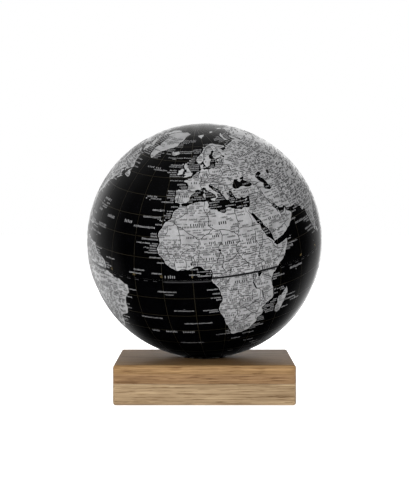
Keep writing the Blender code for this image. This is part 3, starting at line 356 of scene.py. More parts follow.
# Lines between countries, parted by semicolons.
BORDERS = """
-2.1 35.1, -1.5 33.5, -1.2 32.3, -3.6 30.9, -8.7 28.7, -8.7 27.3; -8.7 27.3, -8.7 26, -12 26, -12 23.4,
-13 21.3, -17 21.3; -8.7 27.7, -13.1 27.7; -8.7 27.3, -4.8 25, -6.6 25, -5.5 15.5, -9.3 15.5, -12.2 14.8,
-14.3 16.6, -16.5 16.1; -4.8 25, 1.2 21.1, 3.2 19.8, 3.2 19, 4.2 19.1, 5.8 19.5, 12 23.5; 12 23.5, 9.9 24.8,
9.4 26.2, 9.8 26.5, 9.8 29, 9.3 30.3, 8.3 32.5, 7.6 33.6, 8.3 35, 8.6 36.9; 11.5 33.2, 11.4 32.4, 10.3 31.8,
9.3 30.3; 12 23.5, 14.2 22.6, 15 23, 24 19.5, 24 15.7, 22.9 15, 22 12.7, 22.9 11, 24 8.7, 27.4 5.1,
30.8 3.5; 25.1 31.6, 25 29.2, 25 22, 31.4 22, 36.9 22; 25 22, 25 20, 24 20, 24 19.5; 15 23, 15.5 21,
16 20.3, 15.5 16.9, 13.5 14.4, 13.6 13.7; 4.2 19.1, 4.2 16.8, 3.5 15.4, 0.3 15, -2 14.2, -4.3 13.2,
-5.2 11.6, -5.5 10.4, -2.8 9.7, -2.8 11, 0.9 11, 2.4 12; 3.6 11.7, 4.1 13.5, 6.8 13.1, 9 12.8, 11 13.4,
13.6 13.7, 14.2 12.4, 13.3 10, 11.8 7, 10.5 7, 8.6 4.8; 2.4 12, 3.6 11.7, 3.6 10, 2.7 8, 2.7 6.4; 0 11,
0.6 8, 1.2 6.1; -2.8 9.7, -2.5 8, -3.1 5.1; -5.5 10.4, -8 10.2, -8.3 7.6, -7.5 4.5; 0.9 11, 1.4 9.5,
1.7 6.3; -8.3 7.6, -10.3 8.4, -11.5 7; -8 10.2, -9 12.3, -11.4 12.4, -13.7 12.6, -16.7 12.4; -12.2 14.8,
-11.4 12.4; -13.7 12.6, -13.7 11.7, -15 10.9; -10.3 8.4, -11.2 9.9, -13 9.1; 14.2 12.4, 15.5 10, 15.5 7.6,
18.6 8, 22.9 11; 15.5 7.6, 14.5 5, 16.2 2.2, 18.6 3.5, 18.6 4.3, 22.4 4.1, 27.4 5.1; 18.6 3.5, 17.7 0,
16.2 -2.2, 15.3 -4.3, 13.1 -4.6, 12.3 -5.9, 16.6 -5.9, 16.9 -7.2, 21.8 -7.3, 21.9 -11, 24 -11; 9.8 2.3,
13.3 2.2, 16.2 2.2; 13.3 2.2, 14.4 1, 13.9 -1.5, 14.4 -2, 12.5 -2.4, 11.2 -3.9; 24 -11, 24 -12.9, 22 -13,
22 -16.2, 23.4 -17.6, 18.4 -17.4, 14 -17.4, 11.8 -17.2; 23.4 -17.6, 25.3 -17.8, 27.7 -20.5, 29.4 -22.2,
31.3 -22.4, 32 -24, 32 -26.8, 32.9 -26.9; 21 -18.3, 21 -22, 20 -22, 20 -28.4, 16.6 -28.6; 20 -25,
20.9 -26.9, 22.8 -25.5, 25.6 -25.7, 27 -23.7, 29.4 -22.2; 31.3 -22.4, 32.5 -21.3, 32.9 -19, 32.9 -16.7,
30.4 -15.6, 28.9 -16, 27 -17.9, 25.3 -17.8; 30.4 -15.6, 30.2 -15, 33.2 -14, 32.7 -13.6, 33.3 -10.8, 33 -9.4,
30.8 -8.3; 24 -11, 25.4 -11.3, 27.2 -11.6, 29.4 -12.4, 29.8 -13.4, 28.6 -12.8, 28.4 -9.2, 30.8 -8.3;
34.6 -14.5, 35.8 -15, 35.3 -17.1, 34.3 -16, 34.5 -14.5, 33.2 -14; 34.6 -11.6, 37.5 -11.7, 40.4 -10.5;
29.2 -3.3, 29 -2.7, 29.6 -1.4, 29.7 0, 31.2 2.2, 30.8 3.5, 34 4.2, 35.9 4.6, 38.1 3.6, 41.9 3.9; 34 4.2,
34.5 1, 33.9 0; 29.6 -1.4, 31.8 -1; 34 -1, 37.6 -3.2, 39.2 -4.7; 30.8 -2.4, 30.5 -1.1; 29.4 -4.4, 30.8 -2.4;
41.9 3.9, 41 2.8, 41 -0.9, 41.6 -1.7; 41.9 3.9, 45 4.9, 48 8, 44 9, 42.8 10.6, 41.8 11.5, 42.4 12.5,
40 14.5; 40 14.5, 36.5 14.3, 36 12.7, 34.1 10.6, 34.1 8.6, 33 7.8, 35.9 4.6; 36.5 14.3, 37 17, 38.6 18;
24 8.7, 26 10.3, 28 9.4, 31 9.8, 33.9 9.6; 27 -29.6, 28.6 -28.6, 29.4 -29.5, 28.2 -30.6, 27 -29.6;
-8.8 41.9, -6.5 41.9, -6.9 39.8, -7.4 37.3; -1.8 43.3, 0.7 42.7, 3.2 42.4; 7.5 43.8, 7 45, 6.9 45.9,
8.5 46.3; 8.5 46.3, 10.4 46.8, 12.4 46.7, 13.7 46.5, 13.7 45.6; 6.1 46.2, 7.6 47.6, 9.6 47.4, 10.4 46.8;
2.5 51, 4.2 50, 6.1 49.5; 6.1 49.5, 8.2 49, 7.6 47.6; 3.4 51.4, 5.8 51.1, 6.1 49.5; 5.8 51.1, 6.8 52.2,
7.1 53.3; 8.7 54.9, 9.8 54.8; 9.6 47.4, 13 47.5, 13.8 48.7, 12.2 50.2, 14.8 50.9, 14.2 53.9; 14.8 50.9,
17 50.2, 18.8 49.5, 16.9 48.6, 13.8 48.7; 18.8 49.5, 22.5 49.1, 22.1 48.4, 17.2 48; 17.2 48, 16.1 46.9,
13.7 46.5; 22.5 49.1, 24 50.6, 23.6 52.5, 23.5 54, 20 54.4; 16.1 46.9, 18.9 45.8, 21.2 46.1, 22.9 48;
13.7 45.6, 15.8 45.2, 19 44.9, 18.5 42.5; 19 44.9, 21.5 44.8, 22.7 44.2, 28.6 43.8; 22.7 44.2, 22.4 42.3,
23 41.3, 26.4 41.7, 28 42; 19.4 41.9, 20.6 41, 23 41.3; 20.6 41, 20.2 39.7; 26.4 41.7, 26.1 40.8; 22.1 48.4,
24.9 47.8, 26.6 48.3, 28.2 45.5; 26.6 48.3, 29.9 46.4; 24 50.6, 27 51.6, 31.5 51.5, 34.2 51.3, 38 49.9,
40 49.5, 38.3 47.2; 23.5 54, 26.5 55.7, 31 55, 31.5 51.5; 21 55.3, 23.5 54; 21 56.2, 26.5 55.7, 28.2 56.5,
27.5 57.5, 24.4 57.9; 27.5 57.5, 28.1 59.3; 11.2 59, 12.5 61.5, 12.2 63.5, 14.5 66, 18 68.5, 20.5 69,
23.5 67.9, 24.1 65.9; 20.5 69, 25.5 69, 28.5 69.8, 29.8 67.7, 29.5 64, 31.3 62.6, 28 60.6; 41.5 41.5,
43.5 41.1, 44.8 39.7, 44.4 37, 42.4 37.1, 36.6 36.8, 36 36; 43.5 41.1, 46.5 41.8, 48.5 41.8; 40 43.4,
44.5 42.7, 46.5 41.8; 44.8 39.7, 48 38.8, 48.9 38.4; 42.4 37.1, 41 34.4, 38.8 33.4, 35.7 32.7; 44.4 37,
46 35.5, 45.5 34, 47.8 31, 48.5 30; 38.8 33.4, 39.2 32.1, 37 31.5, 38 30.5, 36 29.2, 35 29.4; 39.2 32.1,
42 31.1, 46.5 29.1, 48.4 28.5; 42.8 16.4, 44 17.4, 47 17, 52 19, 55 20, 55.6 22, 52.6 22.9, 51.6 24.1;
52 19, 53.1 16.7; 55.6 22, 55.8 24.3, 56.3 24.8; 53.9 37.3, 57.2 38.2, 60.5 36.6, 61 34.3, 60.6 33, 61.8 31,
61.6 25.3; 61 34.3, 64.5 36, 67.8 37.2, 71.5 37, 74.9 37.2; 60.9 29.9, 66.3 29.9, 69.5 33, 71.3 36,
74.9 37.2; 61.8 31, 60.9 29.9; 52.5 41.8, 56 41.3, 56 45, 61 44.2, 66 42, 66.6 41, 62 40, 58 42.3, 56 41.3;
66.6 41, 66.5 38, 67.8 37.2; 66 42, 70.9 42.2, 73.5 43, 80.2 42.1; 49 46.3, 47 48, 47 50, 52 51.5, 60 51,
61 54, 70 55.2, 76 54.3, 80 51, 87.3 49.1, 82 45.5, 80.2 42.1, 74.9 37.2, 78 35.5, 79 31, 81 30.2;
68.2 23.8, 71 24.5, 70 28, 73 30, 75 32.5, 74 34.5, 78 35.5; 81 30.2, 86 28, 88.2 27.9, 92 27.8, 97 28.2,
98.7 25, 100.1 21.5; 80 28.8, 84 27.4, 88.1 26.5; 88.2 24.5, 88.1 26.5, 92 25.2, 92.3 22; 92.3 22, 94 25,
97 28; 100.1 21.5, 102 22.5, 105.5 23, 108 21.6; 98 19.7, 99.2 16, 99 12.5; 100.1 20.3, 101.2 17.7,
104.8 16.5, 105.5 14.4, 102.4 13.5; 104.5 19.2, 107.5 15, 107.5 12.2, 104.5 10.5; 87.3 49.1, 98 50.5,
106 50.3, 115.5 48, 119.7 47, 119 42.2, 111.5 43.6, 105 41.6, 97 42.7, 91 45.2, 87.3 49.1; 116.5 49.8,
120 52.5, 127 50, 131 47.7, 135 48.4, 131.2 44.8, 130.7 42.3; 124.2 40, 128 42, 130.7 42.3; 126.7 37.8,
128.4 38.6; -122.8 49, -95 49, -89.5 48, -84.5 46.5, -82.5 45.3, -82.5 42.3, -79 43, -76 44.3, -74.7 45,
-71 45.3, -69.2 47.4, -67.8 47, -67.4 45.2; -141 69.6, -141 60.3, -137.5 59, -133 56.5, -130.1 55.5;
-117.1 32.5, -114.8 32.6, -111 31.4, -108.2 31.6, -106.5 31.8, -103.2 29, -101 29.6, -99.3 26.8, -97.2 25.9;
-120 60, -102 60, -102 49; -114 49, -120 53.8, -120 60; -110 49, -110 60; -95 49, -95 52.8, -89 56.7;
-64.5 60.2, -64 55, -67 52.3, -57 51.5; -92.2 14.6, -91 17.8, -89.2 17.8, -88.3 18.5; -89.2 17.8,
-89.2 15.9; -89.4 13.5, -87.8 13.4, -83.2 15; -85.7 11.1, -83.7 10.9; -82.9 8.1, -82.6 9.5; -71.4 12.1,
-72.5 9, -70 7, -67.5 6.2, -67.2 2.2, -66.9 1.2, -69.9 0.8, -70 -4.2, -72.8 -2.4, -75.3 -0.2, -78.6 1.4;
-66.9 1.2, -64 2.5, -64 4, -60.7 5.2, -60 8.2; -60.7 5.2, -57.5 1.8, -56 2, -52.7 2.2, -51.6 4.2; -57.2 6,
-58 3.8, -57.5 1.8; -54 5.5, -54.5 2.3; -75.3 -0.2, -78.5 -4.5, -80.3 -3.4; -70 -4.2, -73 -7, -74 -9.5,
-70.6 -9.8, -69.5 -11, -65.4 -10, -65 -12, -60 -13.7, -60 -16.3, -58 -17.5, -57.5 -18, -58 -20, -57.9 -22.1,
-54.5 -24, -54.6 -25.6, -53.6 -27, -57.6 -30.2, -58.2 -33.5; -69.5 -11, -69 -15, -69.5 -17.5, -67 -23,
-66 -22, -62.7 -22, -62.3 -20, -58 -20; -62.7 -22, -58 -24.8, -58.6 -27.3, -54.6 -25.6; -69.5 -17.5,
-70.4 -18.4; -67 -23, -68.5 -27, -70 -31, -70 -34, -71.3 -39, -72 -44, -72 -49, -72 -52, -68.4 -52.4;
-57.6 -30.2, -55 -31.3, -53.4 -33.7; 129 -14.9, 129 -31.7; 138 -16.5, 138 -26, 141 -26, 141 -38.1; 129 -26,
138 -26; 141 -29, 149 -29, 153.5 -28.2; 141 -34, 144 -35.8, 148 -36, 150 -37.5; 141 -2.6, 141 -9.1; 109.6 2,
112 1.2, 115 3, 115.8 4.3, 117.8 4.2; 27.4 5.1, 27.5 3.5
"""

# Large rivers, parted by semicolons.
RIVERS = """
31 31.2, 31.2 29.5, 32.8 26.2, 33 24, 31.5 21.5, 33.8 19.3, 32.6 15.6, 32.5 12, 31.5 9.5, 31.5 5, 32.5 2.5,
33 0.5; 32.6 15.6, 34.5 12.5, 35.5 10.5, 37.3 11.6; 12.8 -6, 15.5 -4.4, 17.5 -1, 20.5 1.8, 24 1.5, 25.4 -1,
26.5 -5, 27.5 -9; 6.1 4.8, 6.7 7.8, 4.5 10.8, 2 13.8, -0.5 16.6, -4 15.5, -7.8 12.5, -10 10; 6.7 7.8,
10 8.5, 13.4 9.3; 36 -18.5, 33.5 -16.5, 30.5 -15.7, 26 -17.9, 23.3 -15.8, 23.5 -12.5; 16.6 -28.6,
20.5 -28.6, 24 -29.2, 27.5 -30.5; -16.4 16, -14 16.6, -12.3 14.6, -10.8 12.5; 29.6 45.2, 26 43.9, 22.6 44.6,
20 45.2, 18.9 47.5, 16 48.2, 12.5 48.9, 9 48; 4.3 51.9, 6.5 51.7, 7.6 50.2, 8.3 48.8, 7.6 47.6; 32.5 46.6,
35 47.9, 34 49.3, 30.6 50.5, 30.8 53; 39.3 47.2, 43 48.5, 39.6 51.5; 47.8 46, 44.8 48.5, 46.2 51.5, 49 53.5,
48.5 55.6, 44 56.3, 39 57.8, 34.5 57; 51.8 47.1, 51.4 51.3, 56 51.5, 59 53.5; 69 66.5, 66.5 63, 69 60.9,
73 60.5, 79 58, 83 55, 85 52.5; 69 60.9, 67 58, 71.5 56, 75 53, 80 50.8, 84 48; 83 71, 87 68, 89 65,
88.5 61, 92.5 56.5, 92 52; 127 72.5, 123.5 67, 128 63.5, 122 60.5, 112 58.5, 107.5 55; 141 53, 137 49.5,
131 47.8, 127.5 50.5, 120.5 53.2; 48 30, 46.2 32, 43.5 36, 41 37.6; 46.2 31, 42 34.2, 38.5 36.5; 67.5 24,
68.5 27.5, 71 29.5, 72 32.5, 73.5 35, 77 34.5; 90.5 23, 87.5 25.2, 82.5 25.4, 79 28.5; 90 24.5, 91.5 26.3,
96 28, 92 29.3, 85 29.4; 105 19.5, 106.8 10.2, 105.8 12.5, 106 15.5, 101 18, 100.8 21, 98.8 27; 95.3 16,
95 19.5, 96 24, 97 27; 121.5 31.6, 117 30.8, 112 30, 107 29.8, 103.5 28, 100 27, 98.5 31; 119 37.6, 114 35,
110.5 35, 110.8 40, 106.5 39.5, 104 36.5, 98 34; -89.3 29.5, -91 32, -89.8 35.5, -90 38.8, -91.2 42,
-93.2 45.5; -90 38.8, -94.8 39.1, -97.5 43, -101 46.5, -107 48, -111 46.5; -89.5 37, -86 38, -82 39.5;
-97.3 26, -100.5 28.5, -103.5 29.5, -106.5 32, -106.8 36; -134.5 69, -130 66.3, -125 64, -118.5 61.4;
-114.8 31.8, -114.2 35.5, -110.5 38.3, -107 40; -124 46.2, -119.3 46, -118.5 49, -117 51.5; -164 62.8,
-158 62, -152 65.2, -145 66.4, -138 63; -68.5 48.3, -73 46, -76 44.6; -50.5 -0.3, -53.5 -2, -58 -3,
-62 -3.7, -66 -2.7, -70 -4.1, -73.3 -4.2, -75 -9; -60 -3.2, -63.5 -8.5, -65.3 -12; -60 -3.2, -63 -1, -67 1,
-69 2; -54.8 -2.5, -57 -7, -58 -11.5; -48.8 -1.2, -49.5 -7, -50.5 -12.5, -52 -16; -61.5 8.7, -65 7.8,
-67.5 6.2, -66 3; -36.5 -10.5, -40 -8.9, -43.5 -12, -45 -17.5; -58.5 -34, -60.5 -31.5, -58.5 -27.3,
-54.5 -25.5, -51 -20; -57.6 -30, -56 -27.5; -58.6 -27.3, -57.8 -22, -57.5 -17; 139 -35.4, 142 -34.2,
144.8 -35.9, 147.5 -36; 142 -34.2, 145 -31, 149 -27
"""


# ---------------------------------------------------------------- map places

EAST = Vector((POLE.z, 0.0, -POLE.x)).normalized()
FACING = EAST.cross(POLE)
TURN = Matrix((FACING, EAST, POLE)).transposed() @ Matrix.Rotation(math.radians(-FACING_LONGITUDE), 3, "Z")
TURN_ARRAY = np.array(TURN)
CENTRE_ARRAY = np.array(CENTRE)
SHIFT_ARRAY = PRINT_SHIFT * np.array(FACING)

# The least that a degree of longitude is taken to be, in degrees of arc, so that lines bend near the poles.
LEAST_SQUEEZE = 0.05

# The corners of a small island, and how far each lies from its middle, in radii.
ISLET_CORNERS = 8
ISLET_REACH = (0.7, 1.15)

# Nothing lies south of FAR_SOUTH but one continent, whose ice sheet covers the pole.
FAR_SOUTH = -60
ICE_EDGE = -78


def directions(lon, lat):
    """Unit vectors out of the ball's centre through places on the map, in the row frame."""
    a, b = np.radians(lon), np.radians(lat)
    local = np.stack((np.cos(b) * np.cos(a), np.cos(b) * np.sin(a), np.sin(b)), axis=-1)
    shifted = local @ TURN_ARRAY.T + SHIFT_ARRAY
    return shifted / np.linalg.norm(shifted, axis=-1)[..., None]


def place(lon, lat, height=0.0):
    """Points over places on the map, at a height over the ball's surface."""
    out = directions(np.asarray(lon, float), np.asarray(lat, float))
    return CENTRE_ARRAY + out * (RADIUS + np.asarray(height, float))[..., None]


def read_line(text):
    """A given outline, read as a list of (longitude, latitude)."""
    return [tuple(float(v) for v in pair.split()) for pair in text.split(",")]


def read_lines(text):
    return [read_line(part) for part in text.split(";")]


def roughen(points, draw, closed, step=COAST_STEP, wobble=COAST_WOBBLE):
    """Bends a drawn line a little at every scale, until no part of it is longer than step."""
    ends = points + points[:1] if closed else points
    out = []
    for (lon_a, lat_a), (lon_b, lat_b) in zip(ends, ends[1:]):
        lon_b += 360 * round((lon_a - lon_b) / 360)
        out += bend((lon_a, lat_a), (lon_b, lat_b), draw, step, wobble)
    if not closed:
        out.append(points[-1])
    return out


def bend(a, b, draw, step, wobble):
    """The points from a up to b, without b."""
    squeeze = max(math.cos(math.radians((a[1] + b[1]) / 2)), LEAST_SQUEEZE)
    across, up = (b[0] - a[0]) * squeeze, b[1] - a[1]
    if math.hypot(across, up) <= step:
        return [a]
    shift = draw.uniform(-wobble, wobble)
    middle = ((a[0] + b[0]) / 2 - shift * up / squeeze, (a[1] + b[1]) / 2 + shift * across)
    return bend(a, middle, draw, step, wobble) + bend(middle, b, draw, step, wobble)


def islet(lon, lat, size, draw):
    """A small uneven ring."""
    ring = []
    for k in range(ISLET_CORNERS):
        turn = 2 * math.pi * k / ISLET_CORNERS
        reach = size * draw.uniform(*ISLET_REACH)
        east = reach * math.cos(turn) / math.cos(math.radians(lat))
        ring.append((lon + east, lat + reach * math.sin(turn)))
    return ring


def all_rings():
    """The land's and the inland waters' rings, with natural coasts."""
    draw = random.Random(11)
    land = [roughen(read_line(text), draw, True) for text in LAND.values()]
    for part in ISLETS.split(","):
        lon, lat, size = (float(v) for v in part.split())
        land.append(islet(lon, lat, size, draw))
    water = [roughen(read_line(text), draw, True, wobble=COAST_WOBBLE / 2) for text in WATER.values()]
    return land, water


def inside(ring, x, y):
    """Which of the points lie in the ring, by counting crossings."""
    ring = np.asarray(ring)
    found = np.zeros(len(x), bool)
    low, high = ring.min(0), ring.max(0)
    near = np.flatnonzero((x >= low[0]) & (x <= high[0]) & (y >= low[1]) & (y <= high[1]))
    if not len(near):
        return found
    px, py = x[near], y[near]
    odd = np.zeros(len(near), bool)
    for (ax, ay), (bx, by) in zip(ring, np.roll(ring, -1, axis=0)):
        if ay == by:
            continue
        crosses = (ay > py) != (by > py)
        odd ^= crosses & (px < (bx - ax) * (py - ay) / (by - ay) + ax)
    found[near] = odd
    return found


LAND_RINGS, WATER_RINGS = all_rings()


def flat_ring(ring, side):
    """A ring seen from above the north (side 1) or south (side -1) pole, in degrees from that pole."""
    lon, lat = np.array(ring).T
    reach = 90 - side * lat
    return np.stack((reach * np.cos(np.radians(lon)), reach * np.sin(np.radians(lon))), axis=-1)


def is_dry(x, y, side):
    """Which places, seen from above a pole, are land."""
    dry, wet = np.zeros(len(x), bool), np.zeros(len(x), bool)
    for ring in LAND_RINGS:
        if side < 0 or min(lat for lon, lat in ring) > FAR_SOUTH:
            dry |= inside(flat_ring(ring, side), x, y)
    for ring in WATER_RINGS:
        wet |= inside(flat_ring(ring, side), x, y)
    return dry & ~wet


def land_mask():
    """Land or not on a grid of longitude and latitude, for placing lettering and lines."""
    lat = np.arange(-90, 90, MASK_STEP) + MASK_STEP / 2
    columns = round(360 / MASK_STEP)
    mask = np.zeros((len(lat), columns), bool)
    mask[lat < ICE_EDGE] = True
    for rings, dry in ((LAND_RINGS, True), (WATER_RINGS, False)):
        for ring in rings:
            x, y = np.array(ring).T
            next_x, next_y = np.roll(x, -1), np.roll(y, -1)
            for row in np.flatnonzero((lat > y.min()) & (lat < y.max())):
                hit = (y > lat[row]) != (next_y > lat[row])
                share = (lat[row] - y[hit]) / (next_y[hit] - y[hit])
                crossings = np.sort(x[hit] + share * (next_x[hit] - x[hit]))
                cells = np.round((crossings + 180) / MASK_STEP).astype(int)
                for west, east in zip(cells[::2], cells[1::2]):
                    mask[row, np.arange(west, east) % columns] = dry
    return mask


MASK = land_mask()


def on_land(lon, lat):
    """Whether places are land, from the grid."""
    column = np.floor((np.asarray(lon, float) + 180) / MASK_STEP).astype(int) % MASK.shape[1]
    row = np.clip(np.floor((np.asarray(lat, float) + 90) / MASK_STEP).astype(int), 0, MASK.shape[0] - 1)
    return MASK[row, column]


# ---------------------------------------------------------------- meshes


# The half shells' triangles: the step along the rim in degrees, the width of the band past the rim in which
# coasts are still followed, the gap left inside the rim in rows, and how close points are merged.
RIM_STEP = 0.5
PAST_RIM = 1
RIM_GAP = 0.6
MERGED = 1e-7


def linked(name, data):
    """A new object with this data, in the scene."""
    obj = bpy.data.objects.new(name, data)
    bpy.context.scene.collection.objects.link(obj)
    return obj


def add_object(name, mesh, materials):
    """A new object with this mesh and these materials."""
    for one in materials:
        mesh.materials.append(one)
    return linked(name, mesh)


def finished_mesh(name, shape):
    """A mesh from a bmesh, which is freed."""
    mesh = bpy.data.meshes.new(name)
    shape.to_mesh(mesh)
    shape.free()
    return mesh


def mesh_from(name, vertices, faces, slots=None, smooth=True):
    """A mesh from lists or arrays of vertices and faces."""
    mesh = bpy.data.meshes.new(name)
    mesh.from_pydata([tuple(v) for v in vertices], [], [tuple(int(i) for i in f) for f in faces])
    if slots is not None:
        mesh.polygons.foreach_set("material_index", np.asarray(slots, np.int32))
    if smooth:
        mesh.shade_smooth()
    return mesh


def triangulated_cap(side, edge, seams, step):
    """Triangles of a polar cap, seen from above its pole: points and faces.

    edge is the longitudes of the points on the cap's rim, and seams are rings to be followed.
    """
    rim_reach = 90 - TAPE_EDGE
    turns = np.radians(edge)
    points = [Vector((rim_reach * math.cos(t), rim_reach * math.sin(t))) for t in turns]
    edges = [(k, (k + 1) % len(points)) for k in range(len(points))]
    for ring in seams:
        flat = flat_ring(ring, side)
        reach = np.hypot(flat[:, 0], flat[:, 1])
        if reach.min() > rim_reach + PAST_RIM:
            continue
        first = len(points)
        points += [Vector(p) for p in flat]
        count = len(flat)
        edges += [
            (first + k, first + (k + 1) % count)
            for k in range(count)
            if min(reach[k], reach[(k + 1) % count]) < rim_reach + PAST_RIM
        ]
    draw = random.Random(5)
    rows = int(rim_reach / step)
    points.append(Vector((0.0, 0.0)))
    for row in range(1, rows + 1):
        reach = row * rim_reach / (rows + RIM_GAP)
        count = max(6, round(360 * math.sin(math.radians(reach)) / step))
        offset = draw.random()
        for k in range(count):
            turn = 2 * math.pi * (k + offset) / count
            points.append(Vector((reach * math.cos(turn), reach * math.sin(turn))))
    rim_face = [list(range(len(edge)))]
    made = geometry.delaunay_2d_cdt(points, edges, rim_face, 0, MERGED)
    flat = np.array([tuple(p) for p in made[0]])
    faces = np.array([tuple(face) for face, within in zip(made[2], made[5]) if len(within)])
    used, renumbered = np.unique(faces, return_inverse=True)
    return flat[used], renumbered.reshape(faces.shape)


def rim_loop(flat, faces):
    """The cap's outermost vertices, in order of longitude."""
    sides = np.sort(np.concatenate((faces[:, :2], faces[:, 1:], faces[:, ::2])), axis=1)
    pairs, uses = np.unique(sides, axis=0, return_counts=True)
    outer = np.unique(pairs[uses == 1])
    return outer[np.argsort(np.arctan2(flat[outer, 1], flat[outer, 0]))]


def facing_out(flat, faces, flip):
    """The faces with every one turned the same way, seen from above the pole."""
    a, b, c = flat[faces[:, 0]], flat[faces[:, 1]], flat[faces[:, 2]]
    area = (b[:, 0] - a[:, 0]) * (c[:, 1] - a[:, 1]) - (b[:, 1] - a[:, 1]) * (c[:, 0] - a[:, 0])
    turned = faces.copy()
    wrong = (area < 0) != flip
    turned[wrong] = turned[wrong][:, ::-1]
    return turned


def half_shell(name, side, materials):
    """One half of the ball: a closed shell whose outside is cut along every coast.

    materials are those of the sea, the land and the bare inside.
    """
    coasts = LAND_RINGS + WATER_RINGS
    flat, faces = triangulated_cap(side, np.arange(-180, 180, RIM_STEP), coasts, MESH_STEP)
    loop = rim_loop(flat, faces)
    rim_turns = np.degrees(np.arctan2(flat[loop, 1], flat[loop, 0]))
    inner_flat, inner_faces = triangulated_cap(side, rim_turns, [], INNER_STEP)
    inner_loop = rim_loop(inner_flat, inner_faces)
    if len(inner_loop) != len(loop):
        raise ValueError("the inside and the outside of the shell have different rims")
    middle = flat[faces].mean(axis=1)
    slots = np.where(is_dry(middle[:, 0], middle[:, 1], side), 1, 0)
    south = side < 0
    faces = facing_out(flat, faces, south)
    inner_faces = facing_out(inner_flat, inner_faces, not south)

    def lifted(points, height):
        reach = np.hypot(points[:, 0], points[:, 1])
        return place(np.degrees(np.arctan2(points[:, 1], points[:, 0])), side * (90 - reach), height)

    outside, within = lifted(flat, 0.0), lifted(inner_flat, -WALL)
    first_inner = len(outside)
    after = np.roll(loop, -1)
    inner_after = np.roll(inner_loop, -1)
    rim = np.stack((loop, inner_loop + first_inner, inner_after + first_inner, after), axis=1)
    if south:
        rim = rim[:, ::-1]
    vertices = np.concatenate((outside, within))
    all_faces = [*faces, *(inner_faces + first_inner), *rim]
    all_slots = np.concatenate((slots, np.full(len(inner_faces) + len(rim), 2)))
    mesh = mesh_from(name, vertices, all_faces, all_slots)
    outward = (vertices - CENTRE_ARRAY) / np.linalg.norm(vertices - CENTRE_ARRAY, axis=1)[:, None]
    outward[first_inner:] *= -1
    mesh.normals_split_custom_set_from_vertices([tuple(n) for n in outward])
    return add_object(name, mesh, materials)


def ribbon(lines, width, height=INK_HEIGHT):
    """Closed thin strips along lines on the ball, each an array of (lon, lat): vertices and faces."""
    vertices, faces = [], []
    for line in lines:
        top = place(line[:, 0], line[:, 1], height)
        out = top - CENTRE_ARRAY
        along = np.gradient(top, axis=0)
        sideways = np.cross(out, along)
        sideways *= (width / 2) / np.linalg.norm(sideways, axis=1)[:, None]
        down = out / np.linalg.norm(out, axis=1)[:, None] * (height + INK_DEPTH)
        first = len(vertices)
        left, right = top - sideways, top + sideways
        corners = np.stack((left, right, right - down, left - down), axis=1)
        vertices += list(corners.reshape(-1, 3))
        for k in range(len(line) - 1):
            a = first + 4 * k
            faces += [(a + i, a + 4 + i, a + 4 + (i + 1) % 4, a + (i + 1) % 4) for i in range(4)]
        last = first + 4 * (len(line) - 1)
        faces += [(first, first + 1, first + 2, first + 3), (last + 3, last + 2, last + 1, last)]
    return vertices, faces


def blocks(boxes, height=INK_HEIGHT):
    """Small closed ink blocks on the ball: vertices and faces. Each box is (west, east, south, north)."""
    west, east, south, north = np.array(boxes).T
    corners = []
    for level in (-INK_DEPTH, height):
        for lon, lat in ((west, south), (east, south), (east, north), (west, north)):
            corners.append(place(lon, lat, np.full(len(lon), level)))
    vertices = np.stack(corners, axis=1).reshape(-1, 3)
    sides = ((4, 5, 6, 7), (3, 2, 1, 0), (0, 1, 5, 4), (1, 2, 6, 5), (2, 3, 7, 6), (3, 0, 4, 7))
    first = 8 * np.arange(len(west))[:, None, None]
    faces = (first + np.array(sides)[None]).reshape(-1, 4)
    return vertices, faces


# ---------------------------------------------------------------- materials


class Nodes:
    """Short calls for the nodes of a material or of the world."""

    def __init__(self, owner):
        owner.use_nodes = True
        self.tree = owner.node_tree

    def add(self, kind, **settings):
        node = self.tree.nodes.new(kind)
        for words, value in settings.items():
            setattr(node, words, value)
        return node

    def put(self, socket, value):
        """Sets a socket to a number or a colour, or joins it to another socket."""
        if isinstance(value, bpy.types.NodeSocket):
            self.tree.links.new(value, socket)
        else:
            socket.default_value = (*value, 1.0) if socket.type == "RGBA" else value

    def math(self, operation, *values):
        node = self.add("ShaderNodeMath", operation=operation)
        for socket, value in zip(node.inputs, values):
            self.put(socket, value)
        return node.outputs[0]

    def ramp(self, factor, *stops):
        """A colour for each (position, colour or grey) stop."""
        node = self.add("ShaderNodeValToRGB")
        self.put(node.inputs["Fac"], factor)
        elements = node.color_ramp.elements
        while len(elements) < len(stops):
            elements.new(1.0)
        for element, (position, color) in zip(elements, stops):
            shade = (color,) * 3 if isinstance(color, (int, float)) else color
            element.position = position
            element.color = (*shade, 1.0)
        return node.outputs["Color"]

    def mix(self, factor, a, b):
        """Mixes two numbers."""
        node = self.add("ShaderNodeMix", data_type="FLOAT")
        for socket, value in ((node.inputs[0], factor), (node.inputs[2], a), (node.inputs[3], b)):
            self.put(socket, value)
        return node.outputs[0]

    def blend(self, factor, a, b, how="MIX"):
        """Mixes two colours."""
        node = self.add("ShaderNodeMix", data_type="RGBA", blend_type=how)
        for socket, value in ((node.inputs[0], factor), (node.inputs[6], a), (node.inputs[7], b)):
            self.put(socket, value)
        return node.outputs[2]


